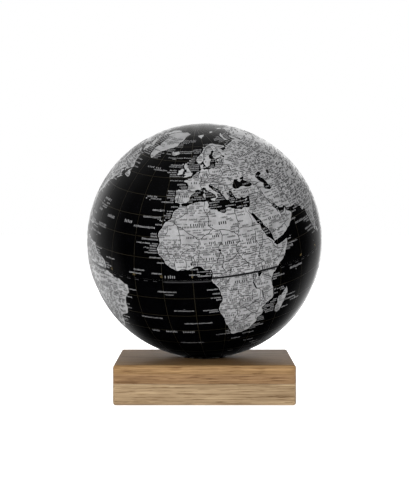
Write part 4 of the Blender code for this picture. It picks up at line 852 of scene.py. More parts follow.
class Shader(Nodes):
    """A material. Points are read in the piece's own metres."""

    def __init__(self, name, color, roughness, **settings):
        self.material = bpy.data.materials.new(name)
        super().__init__(self.material)
        self.surface = self.tree.nodes["Principled BSDF"]
        self.color(color)
        self.rough(roughness)
        for words, value in settings.items():
            self.surface.inputs[words.replace("_", " ")].default_value = value
        self.material.diffuse_color = (*color, 1.0)
        self.here = self.add("ShaderNodeTexCoord").outputs["Object"]

    def stretched(self, scale, offset=(0.0, 0.0, 0.0)):
        """The point, scaled along each axis."""
        node = self.add("ShaderNodeMapping")
        for words, value in (("Vector", self.here), ("Scale", scale), ("Location", offset)):
            self.put(node.inputs[words], value)
        return node.outputs["Vector"]

    def noise(self, where, scale, detail=2.0, roughness=0.5, distortion=0.0):
        node = self.add("ShaderNodeTexNoise")
        for words, value in (
            ("Vector", where), ("Scale", scale), ("Detail", detail), ("Roughness", roughness),
            ("Distortion", distortion),
        ):
            self.put(node.inputs[words], value)
        return node.outputs["Fac"]

    def color(self, value):
        self.put(self.surface.inputs["Base Color"], value)

    def rough(self, value):
        self.put(self.surface.inputs["Roughness"], value)

    def bump(self, height, distance):
        """Raises the surface by up to distance where height is 1. Calls add up."""
        node = self.add("ShaderNodeBump")
        self.put(node.inputs["Height"], height)
        self.put(node.inputs["Distance"], distance)
        self.put(node.inputs["Strength"], 1.0)
        normal = self.surface.inputs["Normal"]
        if normal.is_linked:
            self.put(node.inputs["Normal"], normal.links[0].from_socket)
        self.put(normal, node.outputs["Normal"])


def scaled(color, share):
    return tuple(share * part for part in color)


def sea_print():
    """Glossy black ink under varnish, very slightly uneven."""
    made = Shader("sea_gloss_black", (0.0004, 0.0004, 0.0005), 0.06, IOR=1.5)
    cloud = made.noise(made.here, 60, detail=3)
    made.color(made.ramp(cloud, (0.3, (0.0002, 0.0002, 0.0003)), (0.7, (0.0006, 0.0006, 0.0008))))
    smears = made.noise(made.here, 260)
    made.rough(made.ramp(smears, (0.35, 0.05), (0.7, 0.08)))
    made.bump(made.noise(made.here, 240, detail=1), 0.000004)
    return made.material


def land_print():
    """Silver-grey ink with a fine mottle, under the same varnish."""
    made = Shader("land_silver_grey", LAND_GREY, 0.42, Metallic=0.25, Coat_Weight=1.0, Coat_Roughness=0.07)
    broad = made.noise(made.here, 95, detail=4, roughness=0.6)
    fine = made.noise(made.here, 900, detail=3, roughness=0.7)
    dark, light = scaled(LAND_GREY, 0.76), scaled(LAND_GREY, 1.20)
    tone = made.ramp(broad, (0.3, dark), (0.5, LAND_GREY), (0.72, light))
    grain = made.ramp(fine, (0.3, 0.80), (0.7, 1.0))
    made.color(made.blend(1.0, tone, grain, "MULTIPLY"))
    made.bump(fine, 0.000006)
    return made.material


def bare_plastic(name="bare_shell_plastic"):
    """Unpainted moulded plastic, inside the ball."""
    made = Shader(name, (0.55, 0.55, 0.52), 0.5)
    flow = made.noise(made.here, 30, detail=3)
    made.color(made.ramp(flow, (0.3, (0.50, 0.50, 0.47)), (0.7, (0.58, 0.58, 0.55))))
    made.bump(made.noise(made.here, 500), 0.00001)
    return made.material


def ink(name, color):
    """Printed ink in one tone, a little uneven, under varnish."""
    made = Shader(name, color, 0.35, Coat_Weight=0.8, Coat_Roughness=0.08)
    density = made.noise(made.here, 350, detail=3)
    made.color(made.ramp(density, (0.35, scaled(color, 0.75)), (0.65, scaled(color, 1.25))))
    return made.material


# ---------------------------------------------------------------- the printed ball

LAND_GREY = (0.345, 0.346, 0.350)
SEA = sea_print()
GROUND = land_print()
INSIDE = bare_plastic()
GOLD_INK = ink("gold_line_ink", (0.0080, 0.0064, 0.0030))
PALE_LETTERS = ink("pale_letter_ink", (0.16, 0.16, 0.164))
DARK_LETTERS = ink("dark_letter_ink", (0.006, 0.006, 0.007))
SCALE_GREY = ink("scale_grey_ink", (0.020, 0.020, 0.021))
NUMBER_INK = ink("gold_number_ink", (0.11, 0.080, 0.030))

# Line widths in metres.
PARALLEL_WIDTH = 0.00060
MERIDIAN_WIDTH = 0.00050
PRIME_WIDTH = 0.00075
BORDER_WIDTH = 0.00058
RIVER_WIDTH = 0.00034

# Borders, rivers and towns' marks are a little lower than the names over them.
LINE_HEIGHT = 0.8 * INK_HEIGHT
MARK_HEIGHT = 0.9 * INK_HEIGHT

# The graticule, in degrees.
PARALLELS = range(-80, 90, 10)
MERIDIANS = range(-180, 180, 15)

# Lines are laid out on a fine step, in degrees. One point in KEPT_POINT is kept, runs of fewer points than
# SHORTEST_RUN are left out, and meridians end at LAST_LATITUDE.
LINE_STEP = 0.25
KEPT_POINT = 5
SHORTEST_RUN = 4
LAST_LATITUDE = 88

# Borders and rivers: the longest straight part in degrees, and the fewest points of a line.
DRAWN_STEP = 0.9
FEWEST_POINTS = 8

# The black lines beside the tape: their latitude in degrees, and their width in metres.
EQUATOR_EDGE = 0.465
EQUATOR_EDGE_WIDTH = 0.0003

# The grey scale, in degrees: its latitude and step, the ends of its bar, and its dashes' length and pitch.
# The widths of bar and dashes are in metres.
SCALE_LATITUDE = -1.3
SCALE_STEP = 0.1
BAR_WEST, BAR_EAST = -14, 10
DASH, DASH_PITCH = 2.2, 5
BAR_WIDTH, DASH_WIDTH = 0.0016, 0.0009


def on_globe(obj):
    """Lets a piece of the ball turn with it."""
    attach(obj, "globe")
    return obj


def printed(name, vertices, faces, material):
    """A piece of ink on the ball."""
    on_globe(add_object(name, mesh_from(name, vertices, faces, smooth=False), (material,)))


def joined(solids):
    """One pair of vertices and faces from several."""
    vertices, faces = [], []
    for points, sides in solids:
        faces += [tuple(len(vertices) + i for i in side) for side in sides]
        vertices += list(points)
    return vertices, faces


def make_shells():
    for side, node in ((1, "north_hemisphere"), (-1, "south_hemisphere")):
        name = node.replace("hemisphere", "half_shell")
        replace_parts(on_globe(half_shell(name, side, (SEA, GROUND, INSIDE))), node)


def make_tape():
    """The black tape over the joint. On the land it is printed with letter ink, on the sea like the sea."""
    half = math.degrees((TAPE_HALF_WIDTH - SEAM_GAP) / RADIUS)
    section = [(-half, 0.0), (0.0, 0.0), (half, 0.0), (half, -TAPE_THICKNESS), (-half, -TAPE_THICKNESS)]
    lon = np.arange(-180, 180, LINE_STEP)
    rings = [place(lon, np.full(len(lon), lat), height) for lat, height in section]
    vertices = np.stack(rings, axis=1).reshape(-1, 3)
    count, corners = len(lon), len(section)
    dry = on_land(lon + LINE_STEP / 2, 0.0)
    faces, slots = [], []
    for k in range(count):
        a, b = k * corners, (k + 1) % count * corners
        for i in range(corners):
            j = (i + 1) % corners
            faces.append((a + i, b + i, b + j, a + j))
            slots.append(int(dry[k]))
    mesh = mesh_from("equator_tape", vertices, faces, slots, smooth=False)
    tape = on_globe(add_object("equator_tape", mesh, (SEA, DARK_LETTERS)))
    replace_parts(tape, "equator_band")


def runs(lon, lat, keep):
    """The stretches of a line where keep is true, each thinned but for its ends."""
    found, start = [], None
    for k in range(len(keep) + 1):
        inside_run = k < len(keep) and keep[k]
        if inside_run and start is None:
            start = k
        elif not inside_run and start is not None:
            if k - start >= SHORTEST_RUN:
                chosen = sorted(set(range(start, k, KEPT_POINT)) | {k - 1})
                found.append(np.stack((lon[chosen], lat[chosen]), axis=1))
            start = None
    return found


def make_graticule():
    """Parallels every 10 degrees and meridians every 15, over the sea."""
    parallels, meridians, prime = [], [], []
    lon = np.arange(-180, 180 + LINE_STEP, LINE_STEP)
    for value in [v for v in PARALLELS if v]:
        lat = np.full(len(lon), float(value))
        parallels += runs(lon, lat, ~on_land(lon, lat))
    south = np.arange(-LAST_LATITUDE, -TAPE_EDGE, LINE_STEP)
    north = np.arange(TAPE_EDGE, LAST_LATITUDE, LINE_STEP)
    for value in MERIDIANS:
        for lat in (south, north):
            column = np.full(len(lat), float(value))
            found = runs(column, lat, ~on_land(column, lat))
            (prime if value in (0, -180) else meridians).extend(found)
    printed("graticule_parallels", *ribbon(parallels, PARALLEL_WIDTH), GOLD_INK)
    printed("graticule_meridians", *ribbon(meridians, MERIDIAN_WIDTH), GOLD_INK)
    printed("graticule_prime_meridian", *ribbon(prime, PRIME_WIDTH), GOLD_INK)


def make_land_lines():
    """Thin dark lines on the land: borders and rivers."""
    for name, text, width, seed, wobble in (
        ("country_borders", BORDERS, BORDER_WIDTH, 21, 0.12),
        ("rivers", RIVERS, RIVER_WIDTH, 22, 0.20),
    ):
        draw = random.Random(seed)
        lines = []
        for line in read_lines(text):
            lon, lat = np.array(roughen(line, draw, False, step=DRAWN_STEP, wobble=wobble)).T
            count = max(FEWEST_POINTS, int(np.hypot(np.diff(lon), np.diff(lat)).sum() / LINE_STEP))
            share = np.linspace(0, len(lon) - 1, count)
            fine_lon = np.interp(share, np.arange(len(lon)), lon)
            fine_lat = np.interp(share, np.arange(len(lat)), lat)
            keep = on_land(fine_lon, fine_lat) & (np.abs(fine_lat) > TAPE_EDGE)
            lines += runs(fine_lon, fine_lat, keep)
        printed(name, *ribbon(lines, width, LINE_HEIGHT), DARK_LETTERS)


def make_equator_edges():
    """Printed black lines on the land along both edges of the tape, which make it look wider there."""
    lon = np.arange(-180, 180, LINE_STEP)
    dry = on_land(lon, 0.0)
    lines = []
    for side in (-1, 1):
        lines += runs(lon, np.full(len(lon), side * EQUATOR_EDGE), dry)
    printed("equator_edges", *ribbon(lines, EQUATOR_EDGE_WIDTH), DARK_LETTERS)


def make_equator_scale():
    """A grey scale on the sea, just south of the tape: dashes, and one long bar in front."""
    lon = np.arange(-180, 180, SCALE_STEP)
    lat = np.full(len(lon), SCALE_LATITUDE)
    wet = ~on_land(lon, lat)
    bar = (lon > BAR_WEST) & (lon < BAR_EAST)
    dash = ~bar & (lon % DASH_PITCH < DASH)
    parts = [
        ribbon(runs(lon, lat, wet & here), width)
        for here, width in ((bar, BAR_WIDTH), (dash, DASH_WIDTH))
    ]
    printed("equator_scale", *joined(parts), SCALE_GREY)


# Which cells of the mask's grid are printed on already.
TAKEN = np.zeros_like(MASK)


def strip(lon, lat, length, half):
    """The grid cells under a stretch of a row, all in degrees of longitude and latitude."""
    columns = np.arange(math.floor((lon + 180) / MASK_STEP), math.ceil((lon + length + 180) / MASK_STEP))
    rows = np.arange(math.floor((lat - half + 90) / MASK_STEP), math.ceil((lat + half + 90) / MASK_STEP))
    return np.ix_(np.clip(rows, 0, MASK.shape[0] - 1), columns % MASK.shape[1])


def is_free(lon, lat, length, half, dry):
    """Whether nothing is printed there yet, and it is all land or all water, clear of the tape."""
    area = strip(lon, lat, length, half)
    clear = abs(lat) > TAPE_EDGE + half
    return clear and not TAKEN[area].any() and bool(np.all(MASK[area] == dry))


# The room that a small name needs above and below its middle, in degrees.
HALF_ROW = 0.3

# Words: how often a block reaches up, reaches down or has a gap after it, and by how many sizes or pitches.
TALL_SHARE, TALL = 0.25, 0.22
DEEP_SHARE, DEEP = 0.12, 0.20
GAP_SHARE, GAP = 0.08, 0.6


def word(lon, lat, length, size, draw, spacing=0.75, filled=0.55):
    """A printed word as a row of plain blocks of uneven height, which spell nothing.

    length and size are in degrees of arc. spacing is the pitch of the blocks in sizes, and filled is the
    share of the pitch that a block takes.
    """
    squeeze = math.cos(math.radians(lat))
    pitch, made, reach = size * spacing, [], 0.0
    while reach + pitch <= length:
        rise = size * (0.5 + (TALL if draw.random() < TALL_SHARE else 0.0))
        fall = size * (0.5 + (DEEP if draw.random() < DEEP_SHARE else 0.0))
        west = lon + reach / squeeze
        made.append((west, west + pitch * filled / squeeze, lat - fall, lat + rise))
        reach += pitch * (1.0 + (GAP if draw.random() < GAP_SHARE else 0.0))
    TAKEN[strip(lon, lat, length / squeeze, size * 0.5)] = True
    return made


# Wide empty country, with fewer names: west, east, south, north, and the share of names that stay.
EMPTY_LANDS = (
    (-14, 32, 17.5, 31, 0.45),
    (44, 55, 17, 23, 0.45),
    (-56, -22, 62, 83, 0.45),
    (-180, 180, -90, -66, 0.45),
    (-120, -70, 62, 84, 0.45),
    (75, 180, 62, 80, 0.45),
    (-68, -54, -9, 3, 0.45),
    (120, 138, -29, -18, 0.45),
    (72, 130, 31, 62, 0.55),
)

# Seas with few names, in the same way.
QUIET_SEAS = (
    (-62, 18, -60, -1, 0.32),
    (38, 75, -45, 22, 0.50),
    (-75, -34, 34, 60, 0.35),
    (-50, -20, 9, 34, 0.40),
    (46, 56, 36, 48, 0.20),
    (27, 42, 40, 48, 0.35),
)


def share_of_names(regions, lon, lat, usual):
    """The share of names printed at a place: that of the first region around it, or else the usual one."""
    for west, east, south, north, share in regions:
        if west < lon < east and south < lat < north:
            return share
    return usual


# Names of countries and deserts, as large spaced blocks: west end, latitude, length and size, in degrees.
COUNTRY_NAMES = (
    (0, 26, 8, 1.1), (2, 27.5, 4, 0.8), (-7, 25, 14, 0.9), (15, 26, 5, 1.3), (11, 20, 4, 1.1),
    (9, 17, 4, 1.1), (17, 16, 5, 1.2), (28, 16, 6, 1.1), (28, 14.5, 6, 1.1), (-14, 19, 9, 0.7),
    (-2, 20, 4, 1.0), (3, 15, 4, 0.9), (7, 9.6, 4.8, 1.1), (38.5, 8.2, 5.4, 1.1), (20, -3.2, 6.8, 1.2),
    (15.5, -12.5, 5.4, 1.2), (14.8, -21.5, 5.6, 1.2), (21.5, -22.5, 6.0, 1.0), (20.5, -30.6, 8, 1.1),
    (31.5, -6.5, 7, 1.1), (25, -13.6, 5, 1.1), (43, 23.5, 8, 1.2), (45, 21.3, 6, 0.9),
    (52, 32.3, 4.2, 1.2), (42.5, 32.8, 2.6, 1.0), (32, 38.9, 5, 1.1), (64, 33.6, 5, 1.0),
    (66, 29, 5.5, 1.0), (75.5, 23, 7, 1.25), (60, 47.8, 11, 1.2), (45, 58, 22, 1.3), (66, 62, 26, 1.3),
    (28, 49, 6.5, 1.0), (17, 52.2, 4.8, 1.0), (9, 50.9, 3.8, 1.0), (0.5, 46.9, 4, 1.1),
    (-6, 40.1, 4.5, 1.1), (13, 63.5, 4, 0.9), (24, 63.4, 4, 0.9), (-44, 73, 10, 1.1),
    (-108, 59, 14, 1.3), (-108, 39.6, 20, 1.3), (-104.5, 24.5, 6, 1.2), (-60, -8.5, 13, 1.3),
    (-67, -37, 3.6, 1.1), (-74, -9.2, 3.2, 1.0), (-74, 3.5, 3.5, 1.0), (125, -25, 18, 1.3),
    (100, 45.8, 9, 1.1), (97, 34, 13, 1.3), (112, -1, 3, 0.9), (106, 63, 24, 1.3), (139, 66, 16, 1.2),
    (34, -18, 5, 1.0), (45, -19, 4, 0.9), (34.5, 1.2, 4.6, 1.1), (44, 4.5, 5, 1.0),
)

# Small names on the land, in degrees of arc: the first row's latitude, the distance between rows, the size
# of letters, and the ranges of the lengths and of the gaps between names. Then the share that is printed.
FIRST_ROW, ROW_STEP = 0.95, 1.06
LAND_SIZE = 0.66
NAME_LENGTHS = (1.5, 4.6)
NAME_GAPS = (0.4, 1.3)
USUAL_ON_LAND = 0.93

# How far from the map's edge a row begins, how far a name strays from its row, how far on the next place is
# tried, and the range of sizes.
ROW_START = (0, 3)
STRAY = 0.2
TRY_STEP = 0.4
SIZES = (0.8, 1.2)

# A town's mark is two crossed blocks west of its name: how often, how far west, and how far each block
# reaches to the sides and up and down, in degrees of arc.
MARK_SHARE = 0.3
MARK_WEST = 0.42
MARK_BLOCKS = ((0.14, 0.08), (0.077, 0.14))


def make_land_names():
    """Dark names all over the land: large spaced ones, then rows of small ones, some with a town's mark."""
    draw = random.Random(30)
    large = []
    for lon, lat, length, size in COUNTRY_NAMES:
        large += word(lon, lat, length, size, draw, spacing=0.8, filled=0.5)
    printed("country_names", *blocks(large), DARK_LETTERS)
    for half, side, seed, end in (("north", 1, 31, 77), ("south", -1, 32, 76)):
        draw = random.Random(seed)
        names, marks = [], []
        for row in side * np.arange(FIRST_ROW, end, ROW_STEP):
            squeeze = math.cos(math.radians(row))
            lon = -180 + draw.uniform(*ROW_START)
            while lon < 180:
                lat = row + draw.uniform(-STRAY, STRAY)
                length = draw.uniform(*NAME_LENGTHS) / squeeze
                if not is_free(lon, lat, length, HALF_ROW, True):
                    lon += TRY_STEP / squeeze
                    continue
                if draw.random() < share_of_names(EMPTY_LANDS, lon, lat, USUAL_ON_LAND):
                    names += word(lon, lat, length * squeeze, LAND_SIZE * draw.uniform(*SIZES), draw)
                    if draw.random() < MARK_SHARE:
                        middle = lon - MARK_WEST / squeeze
                        for wide, high in MARK_BLOCKS:
                            half_width = wide / squeeze
                            marks.append((middle - half_width, middle + half_width, lat - high, lat + high))
                lon += length + draw.uniform(*NAME_GAPS) / squeeze
        printed(f"land_names_{half}", *blocks(names), DARK_LETTERS)
        printed(f"town_marks_{half}", *blocks(marks, MARK_HEIGHT), DARK_LETTERS)


# Names of oceans, seas and currents, as spaced blocks: west end, latitude, length, size, spacing in sizes.
SEA_NAMES = (
    (-64, 33, 7, 1.0, 0.8), (-54, 26, 7, 1.2, 0.85), (-39, 26, 6, 1.2, 0.85), (-32, 24.5, 12, 0.8, 0.8),
    (-66, 27, 4.5, 1.0, 0.8), (-61, 21, 8, 0.7, 0.8), (-61, 20, 8, 0.7, 0.8), (-26, 19, 9, 0.8, 0.8),
    (-28, 39.5, 6, 0.8, 0.8), (-25, 38.5, 6, 0.7, 0.8), (-22, 33, 7, 0.8, 0.8),
    (-27, 29.5, 10, 0.8, 0.8), (-28, -31, 5, 1.0, 0.85), (-19, -31, 6, 1.0, 0.85),
    (-9, -31, 6, 1.0, 0.85), (-31, -22, 12, 0.6, 0.8), (-18, -6.5, 10, 0.65, 0.8),
    (-14, -8, 4, 0.5, 0.8), (-11, -17, 10, 0.6, 0.8), (-7, -25, 14, 0.6, 0.8),
    (-13, -40, 12, 0.55, 0.8), (51, -3, 10, 0.9, 0.8), (50, 8, 5, 1.0, 0.8), (60, 17, 7, 0.9, 0.8),
    (54, -21, 7, 0.7, 0.8), (67, 12, 9, 0.8, 0.8), (-13.6, 1.25, 6.4, 1.25, 0.8),
    (-172, 32, 44, 1.0, 2.6), (-168, 26, 36, 0.9, 2.2), (-150, -24, 45, 1.0, 2.6),
    (-142, -30, 30, 0.9, 2.2), (150, 25, 22, 0.9, 2.2), (82, -18, 24, 1.0, 2.2),
    (84, -23, 18, 0.9, 2.0), (84, 13, 8, 0.8, 1.4), (-40, 55, 9, 0.8, 1.4), (-20, 73, 5, 0.7, 1.2),
    (-50, -52, 14, 0.8, 1.8), (40, -52, 15, 0.8, 1.8), (100, -50, 17, 0.8, 1.8),
    (-130, -58, 21, 0.8, 1.8), (112, 14, 6, 0.8, 1.2), (-90, 25, 8, 0.8, 1.3), (-78, 15, 10, 0.8, 1.3),
    (155, -16, 8, 0.8, 1.3), (155, -40, 8, 0.8, 1.3),
)

# Small names on the sea: the size of letters in degrees of arc, and the share that is printed.
SEA_SIZE = 0.60
USUAL_AT_SEA = 0.9

# Beside coasts, in degrees of arc: the first row's latitude, the distance between rows, how far a name
# strays, the range of sizes, the room above and below in sizes, the distance from the coast, two ranges of
# lengths, and the steps by which a name shrinks to fit, down to the shortest one.
COAST_ROW, COAST_ROW_STEP = 1.4, 1.12
COAST_STRAY = 0.1
COAST_SIZES = (0.85, 1.15)
COAST_HALF_ROW = 0.6
COAST_GAP = 0.4
SHORT_COAST_NAMES, LONG_COAST_NAMES = (2.0, 4.5), (3.5, 8.0)
SHRINK, SHORTEST_NAME = 0.5, 1.5

# On the open sea: how often one is tried, between which sines of latitude, the range of lengths in degrees
# of arc, a second line's indent, the room above and below, and how much faster the share falls in quiet
# seas than beside coasts.
OPEN_SEA_TRIES = 420
OPEN_SEA_SINES = (-0.93, 0.95)
OPEN_SEA_NAMES = (3, 8)
OPEN_SEA_INDENT = (0.5, 2)
OPEN_SEA_HALF_ROW = 0.35
OPEN_SEA_FALL = 2.2


def coast_names(row, draw, size):
    """Names printed on the sea beside the coasts that a row of latitude crosses."""
    squeeze = math.cos(math.radians(row))
    lon = np.arange(-180, 180, MASK_STEP) + MASK_STEP / 2
    dry = on_land(lon, row)
    made, gap = [], COAST_GAP / squeeze
    for k in np.flatnonzero(dry != np.roll(dry, 1)):
        if draw.random() > share_of_names(QUIET_SEAS, lon[k], row, USUAL_AT_SEA):
            continue
        length = draw.choice((draw.uniform(*SHORT_COAST_NAMES), draw.uniform(*LONG_COAST_NAMES))) / squeeze
        while length > SHORTEST_NAME / squeeze:
            west = lon[k] - gap - length if dry[k] else lon[k] + gap
            if is_free(west, row, length, size * COAST_HALF_ROW, False):
                made += word(west, row, length * squeeze, size, draw)
                break
            length -= SHRINK / squeeze
    return made


def make_sea_names():
    """Pale names beside the coasts and out at sea."""
    draw = random.Random(41)
    large, made = [], []
    for lon, lat, length, size, spacing in SEA_NAMES:
        large += word(lon, lat, length, size, draw, spacing=spacing, filled=0.50 / max(1.0, spacing))
    printed("ocean_names", *blocks(large), PALE_LETTERS)
    north, south = (np.arange(COAST_ROW, end, COAST_ROW_STEP) for end in (76, 68))
    for row in (*north, *-south):
        stray = draw.uniform(-COAST_STRAY, COAST_STRAY)
        made += coast_names(row + stray, draw, SEA_SIZE * draw.uniform(*COAST_SIZES))
    for _ in range(OPEN_SEA_TRIES):
        lat = math.degrees(math.asin(draw.uniform(*OPEN_SEA_SINES)))
        squeeze = math.cos(math.radians(lat))
        lon, length = draw.uniform(-180, 180), draw.uniform(*OPEN_SEA_NAMES) / squeeze
        if draw.random() > OPEN_SEA_FALL * share_of_names(QUIET_SEAS, lon, lat, USUAL_AT_SEA) - 1.0:
            continue
        for line in range(draw.choice((1, 1, 2))):
            row, indent = lat - line, draw.uniform(*OPEN_SEA_INDENT) / squeeze * line
            if is_free(lon + indent, row, length - indent, OPEN_SEA_HALF_ROW, False):
                made += word(lon + indent, row, (length - indent) * squeeze, SEA_SIZE, draw)
    printed("sea_names", *blocks(made), PALE_LETTERS)


# The degree numbers: the size of figures in metres, and in degrees the latitudes of their baseline and of
# the room they need, half a figure's width and the width of the room.
NUMBER_SIZE = 0.0033
NUMBER_BASE, NUMBER_MIDDLE = 0.75, 1.45
HALF_FIGURE = 0.6
NUMBER_ROOM = 2.4


def make_degree_numbers():
    """Small gold numbers of degrees, above the equator."""
    degree = math.radians(1) * RADIUS
    numbers = []
    for meridian in MERIDIANS:
        text = str(abs(meridian))
        west = meridian - HALF_FIGURE * len(text)
        if not is_free(west, NUMBER_MIDDLE, NUMBER_ROOM, HALF_ROW, False):
            continue
        points, triangles = flat_text(text, NUMBER_SIZE)
        lon = west + points[:, 0] / degree / math.cos(math.radians(NUMBER_BASE))
        lat = NUMBER_BASE + points[:, 1] / degree
        height = np.where(points[:, 2] > 0, INK_HEIGHT, -INK_DEPTH)
        numbers.append((place(lon, lat, height), triangles))
    printed("degree_numbers", *joined(numbers), NUMBER_INK)


def flat_text(text, size):
    """Printed figures as a thin solid: points and faces, flat, from the lower left corner."""
    curve = bpy.data.curves.new("figures", "FONT")
    curve.body = text
    curve.size = size
    curve.resolution_u = 2
    curve.extrude = size / 10
    obj = bpy.data.objects.new("figures", curve)
    mesh = bpy.data.meshes.new_from_object(obj)
    points = np.array([tuple(v.co) for v in mesh.vertices])
    triangles = [tuple(p.vertices) for p in mesh.polygons]
    bpy.data.objects.remove(obj)
    bpy.data.meshes.remove(mesh)
    return points, triangles


make_shells()
make_tape()
make_graticule()
make_land_lines()
make_equator_edges()
make_equator_scale()
make_degree_numbers()
make_land_names()
make_sea_names()


# ---------------------------------------------------------------- the oak block

# Round corners and edges, in metres, and the angles of their points over a quarter of a turn.
CORNER = 0.0025
EDGE = 0.0025
SHARPEST_CORNER = 0.0004
ARC_STEPS = 6
QUARTER_TURN = [math.pi / 2 * k / ARC_STEPS for k in range(ARC_STEPS + 1)]
SHARP_FROM = math.radians(28.0)

# In metres: the height of the glue line in the upper board, its groove's depth and widths, the break in the
# boards' edges where they meet, and the room round the parts let into the wood.
GLUE_LINE = 0.0310
GLUE_GROOVE = 0.00022
GROOVE_WIDTH = 0.00036
GROOVE_FLOOR = 0.00012
JOINT_BREAK = 0.00012
LOOSE_FIT = 0.0003

# Linear colours of the layers of the block.
UPPER_DARK, UPPER_LIGHT = (0.112, 0.061, 0.026), (0.305, 0.196, 0.100)
LOWER_DARK, LOWER_LIGHT = (0.140, 0.086, 0.043), (0.345, 0.252, 0.148)

# The growth rings' number in a metre, and how far they bend, in metres.
RINGS = 430.0
SWAY = 0.010

# The sides of a round cutter, and how far it reaches past the wood, in metres.
CUTTER_SIDES = 96
CUTTER_SPARE = 0.01


def oak(name, dark, light, heart, seed, tint=(1.0, 1.0, 1.0)):
    """Oiled oak with its grain along X. Growth rings lie round the line heart = (y, z), in metres."""
    made = Shader(name, light, 0.6, Specular_IOR_Level=0.2)
    along = made.stretched((5.0, 60.0, 60.0), (seed, seed * 1.7, seed * 0.6))
    sway = made.noise(along, 1.0, detail=3)
    apart = made.add("ShaderNodeSeparateXYZ")
    made.put(apart.inputs["Vector"], made.here)
    y = made.math("SUBTRACT", apart.outputs["Y"], heart[0])
    z = made.math("SUBTRACT", apart.outputs["Z"], heart[1])
    reach = made.math("SQRT", made.math("ADD", made.math("MULTIPLY", y, y), made.math("MULTIPLY", z, z)))
    bent = made.math("ADD", reach, made.math("MULTIPLY", sway, SWAY))
    ring = made.math("FRACT", made.math("MULTIPLY", bent, RINGS))
    streaked = made.stretched((16.0, 640.0, 640.0), (seed, 0.0, 0.0))
    streaks = made.noise(streaked, 1.0, detail=5, roughness=0.66)
    patches = made.noise(made.stretched((7.0, 150.0, 150.0), (seed * 2.0, 0.0, 0.0)), 1.0, detail=3)
    pores = made.noise(made.stretched((50.0, 1500.0, 1500.0), (0.0, seed, 0.0)), 1.0, detail=3)
    late_wood = made.ramp(ring, (0.0, 0.25), (0.30, 0.95), (0.75, 0.75), (1.0, 0.25))
    grain = made.blend(0.32, made.ramp(streaks, (0.34, 0.0), (0.66, 1.0)), late_wood)
    grain = made.blend(0.16, grain, made.ramp(patches, (0.3, 0.0), (0.7, 1.0)))
    between = tuple((a + b) / 2 for a, b in zip(dark, light))
    tone = made.ramp(grain, (0.12, dark), (0.55, between), (0.9, light))
    open_pores = made.ramp(pores, (0.36, (0.50, 0.42, 0.34)), (0.44, (1.0, 1.0, 1.0)))
    tone = made.blend(1.0, tone, open_pores, "MULTIPLY")
    made.color(made.blend(1.0, tone, tint, "MULTIPLY"))
    made.rough(made.ramp(grain, (0.2, 0.62), (0.8, 0.48)))
    made.bump(made.ramp(pores, (0.30, 0.0), (0.42, 1.0)), 0.00008)
    made.bump(grain, 0.00010)
    return made.material


def rounded_square(half, corner):
    """The outline of a square with round corners, counter-clockwise seen from above."""
    points = []
    for quarter in range(4):
        middle = Vector((half - corner, half - corner))
        for turn in QUARTER_TURN:
            spot = middle + Vector((math.cos(turn), math.sin(turn))) * corner
            points.append(Matrix.Rotation(math.pi / 2 * quarter, 2) @ spot)
    return points


def quarter_round(z, size, upward):
    """(height, inset) pairs, from low to high, round the edge at height z: a top edge if upward is 1."""
    pairs = [
        (z - size * (1 - math.sin(turn)) * upward, size * (1 - math.cos(turn)))
        for turn in QUARTER_TURN
    ]
    return pairs if upward > 0 else pairs[::-1]


def board(name, node, profile, materials, split):
    """A board whose side follows (height, inset) pairs. Faces above split take the second material."""
    low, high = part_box(node)
    half = (high.x - low.x) / 2
    count = len(rounded_square(half, CORNER))
    vertices, faces, slots = [], [], []
    for z, inset in profile:
        ring = rounded_square(half - inset, max(CORNER - inset, SHARPEST_CORNER))
        vertices += [(p.x, p.y, z) for p in ring]
    for k in range(len(profile) - 1):
        for i in range(count):
            j = (i + 1) % count
            faces.append((k * count + i, k * count + j, (k + 1) * count + j, (k + 1) * count + i))
            slots.append(int((profile[k][0] + profile[k + 1][0]) / 2 > split))
    top = (len(profile) - 1) * count
    faces += [tuple(range(count))[::-1], tuple(range(top, top + count))]
    slots += [0, int(profile[-1][0] > split)]
    return add_object(name, mesh_from(name, vertices, faces, slots, smooth=False), materials)


def cutter(radius, bottom, top, x, y):
    """A round cutter of many sides."""
    shape = bmesh.new()
    bmesh.ops.create_cone(
        shape, cap_ends=True, segments=CUTTER_SIDES, radius1=radius, radius2=radius, depth=top - bottom,
        matrix=Matrix.Translation((x, y, (top + bottom) / 2)),
    )
    return linked("cutter", finished_mesh("cutter", shape))


def cut(obj, cutters):
    """Cuts the cutters out of obj, then removes them."""
    for tool in cutters:
        step = obj.modifiers.new("cut", "BOOLEAN")
        step.operation = "DIFFERENCE"
        step.object = tool
    bpy.context.view_layer.update()
    evaluated = obj.evaluated_get(bpy.context.evaluated_depsgraph_get())
    mesh = bpy.data.meshes.new_from_object(evaluated)
    obj.modifiers.clear()
    obj.data = mesh
    for tool in cutters:
        bpy.data.objects.remove(tool)


def shade(obj):
    """Smooth shading, but for the sharp edges."""
    obj.data.shade_smooth()
    obj.data.set_sharp_from_angle(angle=SHARP_FROM)


def groove(z):
    """(height, inset) pairs of a glue line's groove."""
    half, floor = GROOVE_WIDTH / 2, GROOVE_FLOOR / 2
    return [(z - half, 0.0), (z - floor, GLUE_GROOVE), (z + floor, GLUE_GROOVE), (z + half, 0.0)]


